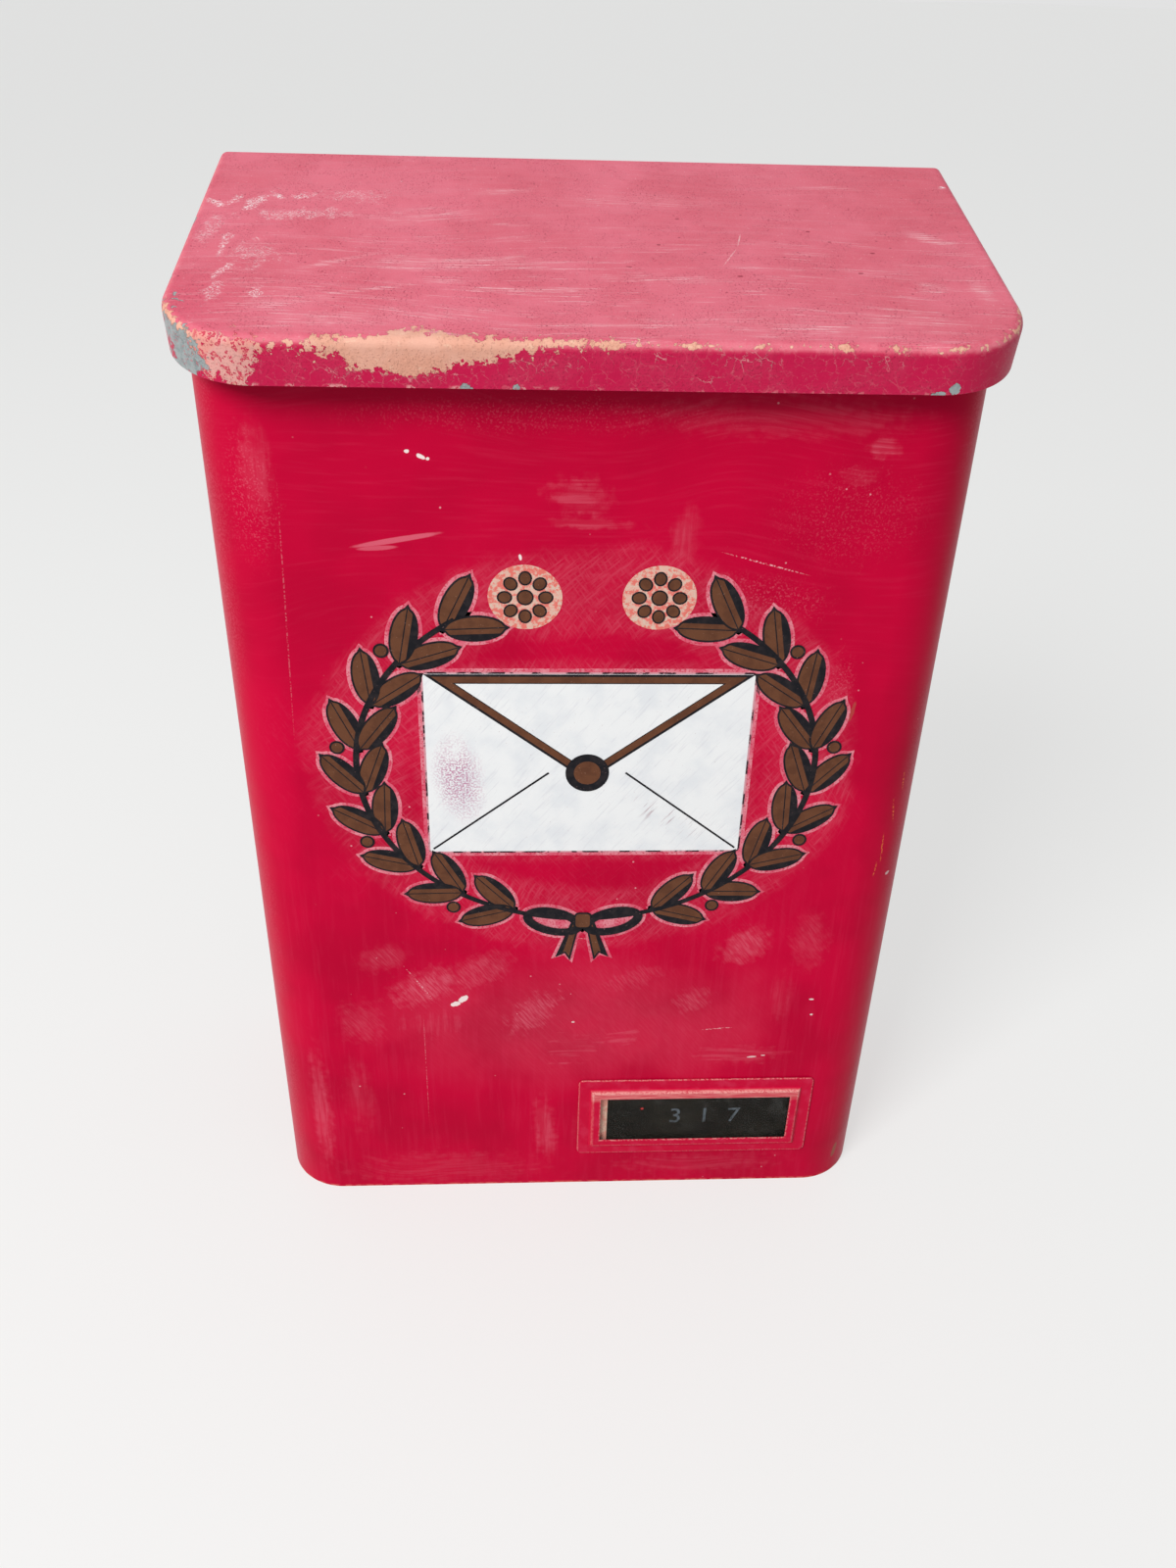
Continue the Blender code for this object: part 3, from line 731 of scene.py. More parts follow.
def makeWreath(paints, halo):
    form = {**emblemForm, **wreathForm}
    (a, b), centreZ, up = form["wreath"], form["centreZ"], form["film"]
    leaf = film(makeLeaf(paints), up)
    around = film(makeLeaf([halo], form["halo"]), form["haloFilm"])
    berry = flatDisc("berry", 2 * form["berryRadius"], 2 * form["berryRadius"])
    film(bordered(berry, paints, (form["line"], 1)), up)
    leaves, halos, berries = [], [], []
    for side in (-1, 1):
        for k in range(form["pairs"]):
            share = k / (form["pairs"] - 1)
            angle = radians(form["firstAngle"] + (form["lastAngle"] - form["firstAngle"]) * share)
            x, z = side * a * cos(angle), centreZ + b * sin(angle)
            along = Vector((-side * a * sin(angle), b * cos(angle)))
            heading = Vector((1, 0)).angle_signed(along)
            for way in (-1, 1):
                turn = -heading + way * radians(form["splay"])
                reach = form["leaf"][0] * form["reach"]
                at = (x + reach * cos(turn), z + reach * sin(turn), turn)
                leaves.append(placedCopy(leaf, *at, up * (1 + 0.3 * ((k + (way > 0)) % 3))))
                halos.append(placedCopy(around, *at, form["haloFilm"] * (1 + 0.1 * (k % 3))))
            if k % 2:
                outward = Vector((side * cos(angle) * b, sin(angle) * a)).normalized() * form["berryAway"]
                berries.append(placedCopy(berry, x + outward.x, z + outward.y, 0, up * 2.2))
    for piece in (leaf, around, berry):
        bpy.data.objects.remove(piece)
    joined("emblemLeaves", leaves)
    joined("emblemLeafRims", halos)
    joined("emblemBerries", berries)

    # the stems: a thin ring, open at the top
    clearPick()
    bpy.ops.mesh.primitive_circle_add(vertices=180, radius=1)
    stem = named("emblemStems", (a, b, 1))
    coat(stem, [paints[1]])
    edit(stem)
    pick(stem, 'VERT', lambda v: v.co.y > b * sin(radians(form["lastAngle"] + form["stemPast"])))
    bpy.ops.mesh.delete(type='VERT')
    pickAll()
    bpy.ops.mesh.extrude_edges_move()
    grow = 1 + form["stem"] / b
    bpy.ops.transform.resize(value=(grow, grow, 1), center_override=(0, 0, 0))
    pickAll()
    bpy.ops.mesh.normals_make_consistent(inside=False)
    leaveEdit()
    film(stem, up * 0.7)
    onFront(stem, 0, centreZ, 0, up * 0.8)
    dressed(stem, "box")
    print("wreath:", len(leaves), "leaves and", len(berries), "berries")


bowForm = {
    "loop": (13 * mm, 7 * mm),  # half sizes
    "loopAt": (12.5 * mm, 1.5 * mm, radians(16)),  # beside the stems' foot, under it, and the turn
    "band": 2.3 * mm,
    "tail": (6.5 * mm, 21 * mm),
    "tailAt": (5.5 * mm, 11.5 * mm, radians(15)),
    "taper": 0.55,
    "notch": 3.2 * mm,
    "crease": 0.8 * mm,
    "knot": (7.5 * mm, 8.5 * mm, 2.2 * mm),
    "knotDown": 1 * mm,
}


def makeBow(paints, halo):  # a ribbon tied round the stems at the bottom
    form = {**emblemForm, **bowForm}
    up, line = form["film"], form["line"]
    foot = form["centreZ"] - form["wreath"][1] - wreathForm["stem"] / 2
    loopX, loopDown, loopTurn = form["loopAt"]
    tailX, tailDown, tailTurn = form["tailAt"]
    parts, rims = [], []
    for side in (-1, 1):
        wide, high = form["loop"]
        loop = flatDisc("loop", 2 * wide, 2 * high)
        coat(loop, paints)
        edit(loop)
        pick(loop, 'FACE')
        ring(loop, line, 1)
        bpy.ops.mesh.inset(thickness=form["band"], depth=0)
        ring(loop, line, 1)
        bpy.ops.mesh.delete(type='FACE')
        leaveEdit()
        film(loop, up)
        at = (side * loopX, foot - loopDown, side * loopTurn)
        parts.append(onFront(loop, *at, up * 2.6))
        rim = flatDisc("loopRim", 2 * (wide + form["halo"]), 2 * (high + form["halo"]))
        coat(rim, [halo])
        rims.append(laid(rim, form["haloFilm"], *at, form["haloFilm"]))

        for wider in (0, 2 * form["halo"]):
            tail = flatPlate("tail", form["tail"][0] + wider, form["tail"][1] + wider)
            coat(tail, [halo] if wider else paints)
            edit(tail)
            pick(tail, 'VERT', lambda v: v.co.y > 0)
            bpy.ops.transform.resize(value=(form["taper"], 1, 1), center_override=(0, 0, 0))
            pick(tail, 'EDGE', lambda e: middle(e).y < -form["tail"][1] * 0.45)
            bpy.ops.mesh.subdivide(number_cuts=1)
            pick(tail, 'VERT', lambda v: v.co.y < 0 and abs(v.co.x) < 0.1 * mm)
            bpy.ops.transform.translate(value=(0, form["notch"], 0))
            if not wider:
                pick(tail, 'FACE')
                ring(tail, line, 1)
                cutAt((side * form["crease"], 0, 0), (1, 0, 0))
                recolour(tail, 1, lambda f: middle(f).x * side > form["crease"])
            leaveEdit()
            film(tail, form["haloFilm"] if wider else up)
            onFront(tail, side * tailX, foot - tailDown, side * tailTurn,
                    form["haloFilm"] * 1.15 if wider else up * 2.2)
            (rims if wider else parts).append(tail)
    knot = bordered(flatPlate("knot", *form["knot"]), paints, (line, 1))
    parts.append(laid(knot, up, 0, foot - form["knotDown"], 0, up * 3.2))
    joined("emblemBow", parts)
    joined("emblemBowRims", rims)


rosetteForm = {
    "radius": 10 * mm,
    "pastLeaves": 22,  # degrees
    "ground": (2.7, 2.5),  # this and the next lines in radii
    "petals": 8,
    "petal": (0.56, 0.5),
    "heart": (0.62, 0.62),
    "spoke": 0.74,
    "lean": 0.2,
}


def makeRosettes(paints, ground):  # on a mottled ground, at the wreath's two tips
    form = {**emblemForm, **rosetteForm}
    radius, up = form["radius"], form["film"]
    angle = radians(form["lastAngle"] + form["pastLeaves"])
    for side, name in ((-1, "emblemRosetteLeft"), (1, "emblemRosetteRight")):
        x = side * form["wreath"][0] * cos(angle)
        z = form["centreZ"] + form["wreath"][1] * sin(angle)
        disc = flatDisc("ground", *(share * radius for share in form["ground"]), 36)
        coat(disc, [ground, *paints])
        parts = [laid(disc, up * 0.5, x, z, side * form["lean"], up * 0.5)]
        for k in range(form["petals"] + 1):
            isHeart = k == form["petals"]
            shares = form["heart" if isHeart else "petal"]
            petal = flatDisc("petal", *(radius * share for share in shares), 18)
            coat(petal, [ground, *paints])
            edit(petal)
            recolour(petal, 1)
            bpy.ops.mesh.inset(thickness=form["line"] * 0.8, depth=0)
            bpy.ops.mesh.select_all(action='INVERT')
            assign(petal, 2)
            leaveEdit()
            spoke = 0 if isHeart else radius * form["spoke"]
            turn = 2 * pi * k / form["petals"]
            film(petal, up * 0.6)
            parts.append(onFront(petal, x + spoke * cos(turn), z + spoke * sin(turn), turn, up * 1.1))
        joined(name, parts)
    print("bow and rosettes made")


envelopeForm = {
    "corner": 1.8 * mm,
    "flapDepth": 47 * mm,
    "flapInset": (1.25, 1.2),  # at each side and at the top, in line widths
    "shade": 2.6 * mm,  # brown band inside the flap's edge
    "foldInset": 2 * mm,
    "foldEnd": (15 * mm, -3 * mm),
    "sealRadius": 8.5 * mm,
    "sealBand": 1.9 * mm,
    "sealUp": 3 * mm,  # over the flap's tip
}


def makeEnvelope(white, broken, paints, halo):
    form = {**emblemForm, **envelopeForm}
    (width, height), up, line = form["envelope"], form["film"], form["line"]
    z, around = form["centreZ"], 2 * form["halo"]
    rim = flatPlate("emblemEnvelopeRim", width + around, height + around, 2 * form["corner"])
    coat(rim, [halo])
    laid(rim, form["haloFilm"], 0, z, 0, form["haloFilm"])
    dressed(rim, "box")

    letter = flatPlate("emblemEnvelope", width, height, form["corner"])
    onFront(film(bordered(letter, [white, broken], (line, 1)), up), 0, z, 0, up)
    dressed(letter, "box")

    flap = flatPlate("emblemFlap", width - 2 * form["flapInset"][0] * line, 2 * form["flapDepth"])
    coat(flap, [white, *paints])
    edit(flap)
    pick(flap, 'VERT', lambda v: v.co.y < 0)
    bpy.ops.mesh.merge(type='CENTER')
    pickAll()
    bpy.ops.transform.resize(value=(1, 0.5, 1), center_override=(0, form["flapDepth"], 0))
    bpy.ops.transform.translate(value=(0, height / 2 - form["flapInset"][1] * line - form["flapDepth"], 0))
    pick(flap, 'FACE')
    ring(flap, line * 1.3, 2)
    ring(flap, form["shade"], 1)
    ring(flap, line * 0.5, 2)
    leaveEdit()
    laid(flap, up * 0.5, 0, z, 0, up * 1.5)
    dressed(flap, "box")

    folds = []
    for side in (-1, 1):  # from the lower corners towards the middle
        start = Vector((side * (width / 2 - form["foldInset"]), form["foldInset"] - height / 2))
        end = Vector((side * form["foldEnd"][0], form["foldEnd"][1]))
        way = end - start
        fold = flatPlate("fold", way.length, line * 1.1)
        coat(fold, [paints[1]])
        centre = (start + end) / 2
        turn = -Vector((1, 0)).angle_signed(way)
        folds.append(laid(fold, up * 0.3, centre.x, z + centre.y, turn, up * 1.3))
    joined("emblemFolds", folds)

    seal = flatDisc("emblemSeal", 2 * form["sealRadius"], 2 * form["sealRadius"], 40)
    bordered(seal, paints, (line, 1), (form["sealBand"], None), (line * 0.8, 1))
    laid(seal, up * 0.6, 0, z - form["flapDepth"] + height / 2 + form["sealUp"], 0, up * 2.2)
    dressed(seal, "box")
    print("envelope made")


# Paints. Marks lie where the real box has them, in mm from the middle of the base

crimson = (0.555, 0.0012, 0.037)
crimsonDeep = (0.46, 0.0010, 0.030)
crimsonPale = (0.62, 0.036, 0.095)
# pink of scuffed paint, also used for a painted highlight down the left corner
scuffAndHighlightPink = (0.74, 0.17, 0.24)
primer = (0.77, 0.41, 0.31)
salmon = (0.72, 0.22, 0.17)
orange = (0.80, 0.20, 0.05)
bareZinc = (0.30, 0.35, 0.35)
chalk = (0.70, 0.144, 0.203)
chalkDeep = (0.64, 0.111, 0.160)
chalkWhite = (0.82, 0.42, 0.46)

bodyMarks = {  # centre, half sizes, turn in degrees, strength
    "levelPale": [
        (-6, 347, 13, 9, -12, 0.55), (0, 337, 21, 2.4, -2, 0.55), (98, 365, 7, 4, 0, 0.75),
        (91, 355, 9, 4, 0, 0.4), (69, 84, 30, 8, 0, 0.55), (-3, 88, 20, 15, 0, 0.6),
        (17, 95, 15, 8, 10, 0.65), (-25, 308, 30, 14, 8, 0.25), (60, 375, 60, 9, 0, 0.25),
        (-60, 12, 60, 14, 0, 0.3), (60, 12, 50, 9, 0, 0.35),
    ],
    "uprightPale": [
        # the mark at (-118, 52) is a painted highlight, the band of light down the left rounded corner
        (32, 332, 6.5, 15, -4, 0.6), (-15, 38, 6.5, 28, 5, 0.75), (-118, 52, 6, 46, 0, 0.75),
        (-64, 104, 22, 14, 0, 0.5), (-100, 60, 9, 26, 0, 0.35), (-115, 355, 8, 22, 0, 0.4),
        (88, 118, 7, 18, 0, 0.35), (4, 40, 7, 14, 0, 0.3),
    ],
    "slantedPale": [
        (-66, 125, 23, 13, 25, 1.0), (-21, 110, 21, 13, 45, 1.0), (70, 147, 15, 11, 40, 0.9),
        (49, 116, 13, 10, 30, 0.7), (-85, 142, 14, 9, 20, 0.5), (-45, 133, 22, 12, 30, 0.65),
        (98, 150, 10, 20, 0, 0.4), (20, 128, 24, 9, 20, 0.5), (-95, 105, 14, 16, 10, 0.45),
    ],
    "streak": [(-69, 330.6, 18, 1.2, 10, 0.75), (-76, 327.5, 8, 1.0, 4, 0.6)],
    "whiteChips": [
        (-64, 362.1, 1.1, 0.8, 0, 1), (-59.4, 360.4, 1.7, 0.8, -20, 1), (-57, 359.7, 0.7, 0.6, 0, 1),
        (-26, 324.5, 0.5, 1.2, 8, 1), (-54.6, 115.8, 2.4, 1.3, 20, 1), (-51.3, 118.6, 2.6, 1.5, 42, 1),
        (102.6, 116.4, 1.4, 0.6, 0, 0.9),
        (103.7, 107.4, 0.7, 0.6, 0, 0.8), (-95.8, 265, 0.6, 0.5, 0, 0.9), (128.4, 181, 1.2, 0.9, 0, 0.7),
        (79, 82, 2.2, 0.5, 5, 0.7), (84.5, 82.8, 1.2, 0.5, 0, 0.7), (-3, 104.5, 0.7, 0.5, 0, 0.7),
    ],
    "brownChips": [(-48.6, 269.4, 3.8, 2.4, 20, 1), (127, 14, 1.3, 5.5, -8, 1), (101, 262, 1, 5, -10, 0.6)],
    "orangeScratches": [(123.2, 196, 0.5, 9, 3, 1), (125.5, 214, 0.5, 8, 8, 1), (128, 228, 0.4, 6, 4, 1),
                        (121.5, 186, 0.5, 5, -5, 1)],
    "paleScratches": [(61.6, 322.6, 19, 0.4, -15, 1), (62, 99.6, 8.5, 0.5, 5, 0.9),
                      (-70, 128, 0.4, 15, 32, 0.8), (-68.8, 76, 0.25, 40, 0, 0.35),
                      (0, 152, 18, 0.3, -7, 0.6), (-110, 300, 0.35, 60, -2, 0.25)],
    "granular": [(63, 309, 30, 12, -8, 1), (-118, 345, 12, 30, 0, 0.9), (-20, 375, 90, 8, 0, 0.5),
                 (90, 340, 34, 24, 0, 0.5), (95, 270, 7, 22, 0, 0.9)],
}

backMarks = [(-90, 376, 9, 15, 0, 1), (90, 376, 10, 14, 5, 1), (-90, 45, 8, 8, 0, 1), (90, 45, 7, 8, 0, 1),
             (-134, 210, 3, 26, 0, 0.7), (40, 250, 26, 2, 24, 0.55), (-30, 140, 34, 1.6, -12, 0.5),
             (133, 330, 3, 18, 0, 0.8), (-20, 8, 60, 3, 0, 0.6)]

lidMarks = {  # here the second number runs forward from the hinge
    "whiteStreaks": [
        (-45, 92, 52, 7, -2, 0.75), (-88, 93, 22, 2.4, -27, 0.9), (-78, 114, 22, 1.8, -16, 0.85),
        (-33, 32, 17, 4, -14, 0.7), (-30, 61, 11, 1.8, 4, 0.9), (-20, 111, 34, 3, -2, 0.9),
        (5, 135.5, 38, 1.8, 0, 0.95), (25, 102, 36, 4, 2, 0.6), (120, 65, 16, 5, 38, 0.8),
        (112, 105, 8, 7, 0, 0.75), (130, 107, 5, 12, -10, 0.7), (-75, 133, 50, 8, -4, 0.45),
        (60, 133, 55, 7, 2, 0.45), (100, 128, 26, 8, 8, 0.4), (20, 38, 40, 8, 0, 0.3),
        (-60, 55, 30, 9, -10, 0.35), (90, 22, 20, 3, 0, 0.3), (-100, 122, 20, 9, -10, 0.35),
    ],
    "speckled": [
        (-135, 46, 6.5, 2.2, 45, 1), (-128.5, 44.5, 6.5, 2.2, -62, 1), (-121, 46.5, 13, 3.4, -62, 1),
        (-113.5, 39.5, 6, 2.2, 50, 1), (-106, 40, 7, 3.2, -22, 1), (-126.5, 82, 2.2, 12, 0, 0.9),
        (-124.5, 102, 2.4, 10, 25, 0.9), (-125, 116, 4, 8, 0, 0.7), (-111, 115, 2.4, 6, 0, 0.9),
        (-104, 55, 26, 5, -4, 0.55), (-116, 88, 10, 12, 0, 0.45), (-85, 38, 14, 7, 0, 0.35),
        (136, 19, 1.6, 1.2, 0, 1), (-70, 24, 1.2, 0.8, 0, 1), (-133, 68, 4, 14, 12, 0.5),
    ],
    "scratches": [(51.6, 70, 0.35, 6.5, 12, 1), (46.8, 84, 0.35, 9, 24, 0.8), (-116, 76, 2, 0.4, 60, 0.6)],
    "pits": [(77.5, 61.6, 1.0, 0.7, 0, 1), (22.6, 75, 0.8, 0.6, 0, 1), (97.8, 78.6, 1, 0.7, 0, 1),
             (90.7, 94.8, 1.1, 0.7, 0, 1), (48.6, 98.7, 1.1, 0.7, 0, 1), (31, 53, 0.9, 0.6, 0, 0.8),
             (11.5, 93, 0.8, 0.6, 0, 0.8), (84, 70, 0.8, 0.6, 0, 0.8), (66, 83, 0.7, 0.5, 0, 0.8)],
    # the bend and the lip: mm along the front, then mm down the lip, in primerUp back over the top
    "primerDown": [(-141, 0), (-129, 8), (-124, 17), (-112, 16), (-107, 6), (-100, 2.6), (-92, 5.5), (-84, 5),
                   (-76, 11), (-66, 12), (-50, 11), (-38, 8.5), (-30, 6.5), (-20, 3.4), (-6, 1.4), (12, 1.2),
                   (50, 0.5), (141, 0.2)],
    "primerUp": [(-141, 1), (-120, 2.6), (-100, 0.9), (-84, 1.8), (-70, 5), (-64, 8), (-52, 7), (-45, 3.8),
                 (-30, 2.6), (0, 1.5), (50, 0.8), (141, 0.5)],
    "zincLip": [(-134, 6.8, 7.6, 5.2, 8, 1), (-131.6, 11.8, 6.4, 5.4, -20, 1), (-43, 15.9, 1.7, 1.6, 30, 1),
                (-27, 16.0, 1.1, 1.5, 0, 1), (114.5, 14.0, 1.8, 2.4, 20, 1), (110, 16.0, 2.2, 0.9, 0, 1),
                (-137.5, 2.6, 2.2, 1.4, 0, 1)],
    "zincSide": [(-141, 60, 1.6, 3.6, 0, 1), (-140.8, 104, 0.9, 1.6, 0, 1)],
    "crackle": [(17, 4.5, 6, 2, 0, 1), (47, 5.5, 13, 4, 0, 1), (34, 12, 6, 1.6, 0, 1),
                (-70, 12, 40, 3, 0, 0.8), (85, 5, 16, 3.5, 0, 0.7), (-20, 7, 20, 4, 0, 0.6)],
}


def spot(place, centre, reach, turn, flat):  # 0 in the middle of an ellipse and 1 on its edge
    (across, up), (wide, high), turn, endless = centre, reach, -radians(turn), 1e6
    if flat == 'Y':
        where, angles, scale = (across, 0, up), (0, turn, 0), (wide, endless, high)
    else:
        where, angles, scale = (across, -up, 0), (0, 0, turn), (wide, high, endless)
    laid = place.node("Mapping", {"vector_type": 'TEXTURE'},
                      {"Vector": place, "Location": where, "Rotation": angles, "Scale": scale})
    return place.node("VectorMath", {"operation": 'LENGTH'}, {0: laid}, 1)


def gather(place, marks, flat, ragged, soft):  # the strongest of several spots, 0 to 1
    total = None
    for across, up, wide, high, turn, strength in marks:
        one = (spot(place, (across, up), (wide, high), turn, flat) + ragged).rise(1.0, 1.0 - soft) * strength
        total = one if total is None else total.most(one)
    return total


def profile(across, points):  # a height in mm that changes along a line
    low, high, most = points[0][0], points[-1][0], max(height for where, height in points)
    stops = [((where - low) / (high - low), height / most) for where, height in points]
    return across.node("ValToRGB", {"stops": stops}, {"Fac": (across - low) / (high - low)}) * most


def bodyPaint():
    paint = Paint("bodyCrimson", specular=0.3, ior=1.16)
    x, y, z = paint.axes()
    centreZ = emblemForm["centreZ"] / mm
    cloud = paint.noise(55, detail=3)
    tiny = paint.noise(0.8, detail=3, shift=3)
    wander = paint.noise(70, detail=0, shift=17)
    ragged = paint.noise(3.5, detail=4, shift=11) - 0.5
    bent = paint.moved(X=wander * 24, Z=wander * -30)  # so that brush marks curve
    level = grain(bent, 1.2, (18, 10, 1), shift=9, detail=4)
    upright = paint.noise(1.8, (1, 1, 14), shift=5, detail=4)
    slanted = grain(bent, 0.9, (1, 1, 9), (0, radians(36), 0), 7, 5, 0.65)
    crossed = grain(bent, 0.9, (1, 1, 9), (0, radians(-42), 0), 2, 5, 0.65)

    def marks(name, wobble, soft):
        return gather(paint.space, bodyMarks[name], 'Y', ragged * wobble, soft)

    paint.base(cloud.rise(0.36, 0.68), crimson, crimsonDeep)
    # painted shade: the upper part of the front made darker towards the lid
    paint.over(z.rise(240, 400) * 0.45, crimsonDeep)
    paint.over(level.rise(0.48, 0.78) * z.rise(230, 340) * 0.14, crimsonPale)
    near = spot(paint.space, (0, centreZ - 12), (118, 100), 0, 'Y') + ragged * 0.3 + (cloud - 0.5) * 1.5
    worked = near.rise(1.1, 0.6) * slanted.rise(0.5, 0.72).most(crossed.rise(0.54, 0.76))
    paint.over(worked * 0.26, crimsonPale)
    pale = (marks("levelPale", 1.6, 0.75) * (0.20 + level.rise(0.35, 0.68) * 0.80)).most(
        marks("uprightPale", 1.2, 0.85) * (0.25 + upright.rise(0.35, 0.7) * 0.75)).most(
        marks("slantedPale", 1.2, 0.8) * (0.30 + slanted.rise(0.40, 0.62) * 0.70))
    wash = (spot(paint.space, (0, 104), (108, 44), 0, 'Y') + (cloud - 0.5) * 1.4).rise(1.0, 0.3)
    wash = wash * (0.55 + slanted.rise(0.4, 0.72) * 0.45) * 0.36
    pale = pale.most(wash)
    # pale worn patches, among them a painted highlight down the left rounded corner
    paint.over(pale * 0.46, scuffAndHighlightPink)
    paint.over(marks("streak", 0.25, 0.3) * 0.75, scuffAndHighlightPink)

    # paler strokes where the red was brushed up to the painted design
    (wide, high), (ringX, ringZ) = emblemForm["envelope"], emblemForm["wreath"]
    outside = (abs(x) - wide / mm / 2).most(abs(z - centreZ) - high / mm / 2)
    ringAway = abs(spot(paint.space, (0, centreZ), (ringX / mm, ringZ / mm), 0, 'Y') - 1.0) * ringZ / mm
    uneven = (cloud - 0.5) * 22 + ragged * 6
    beside = (outside + uneven * 0.3).rise(7, 1.5).most((ringAway + uneven).rise(19, 12)) * (
        0.1 + crossed.rise(0.42, 0.68).most(slanted.rise(0.44, 0.72)) * 0.85)
    paint.over(beside * 0.22, scuffAndHighlightPink)

    granular = marks("granular", 1.0, 0.7) * tiny.rise(0.52, 0.66)
    paint.over(granular * 0.26, scuffAndHighlightPink)
    dragged = upright.rise(0.46, 0.70) * z.rise(235, 130)
    paint.over(dragged * 0.12, crimsonPale)
    edge = abs(x).rise(125, 137.4) * y.rise(-5, -50) * tiny.rise(0.46, 0.6) * cloud.rise(0.36, 0.56)
    paint.over(edge * 0.32, scuffAndHighlightPink)
    onSide = abs(x).rise(136.8, 137.4)
    along = paint.noise(1.1, (1, 15, 1), (radians(14), 0, 0), 13, 4)
    downward = paint.noise(1.1, (1, 1, 18), (radians(-8), 0, 0), 33, 4)
    scuffed = onSide * along.rise(0.62, 0.70).most(downward.rise(0.64, 0.72)) * cloud.rise(0.42, 0.56)
    paint.over(scuffed * 0.5, scuffAndHighlightPink)
    dust = paint.cells(9).rise(0.055, 0.03) * cloud.rise(0.47, 0.58)
    paint.over(dust * 0.6, chalkWhite)
    dashes = tiny.rise(0.47, 0.56)
    thin = marks("paleScratches", 0.0, 0.6) * dashes
    paint.over(thin * 0.85, chalkWhite)
    paint.over(marks("orangeScratches", 0.8, 0.7) * dashes, orange)
    brown = marks("brownChips", 0.8, 0.3)
    paint.over(brown * 0.8, (0.34, 0.10, 0.06))
    chips = marks("whiteChips", 1.8, 0.25)
    paint.over(chips, (0.83, 0.70, 0.68))
    inWindow = (x.rise(6.5, 7.5) * x.rise(15.5, 14.5)) * z.rise(28, 29) * z.rise(62, 61)
    paint.over(inWindow, blend(ragged.rise(-0.1, 0.1), (0.78, 0.52, 0.40), (0.74, 0.33, 0.26)))
    foot = z.rise(1.6, 0.3) * ragged.rise(-0.1, 0.1)
    paint.over(foot * 0.7, salmon)
    height = (tiny * 0.25 + level * z.rise(170, 330) * 0.35 + upright * z.rise(200, 60) * 0.3
              + worked * 0.7 - chips * 1.2)
    roughness = 0.27 + tiny * 0.12 + pale * 0.25 + worked * 0.08
    return paint.done(roughness, height, 0.5, 0.11 * mm, bump(cloud, 1.0, 1.0 * mm))


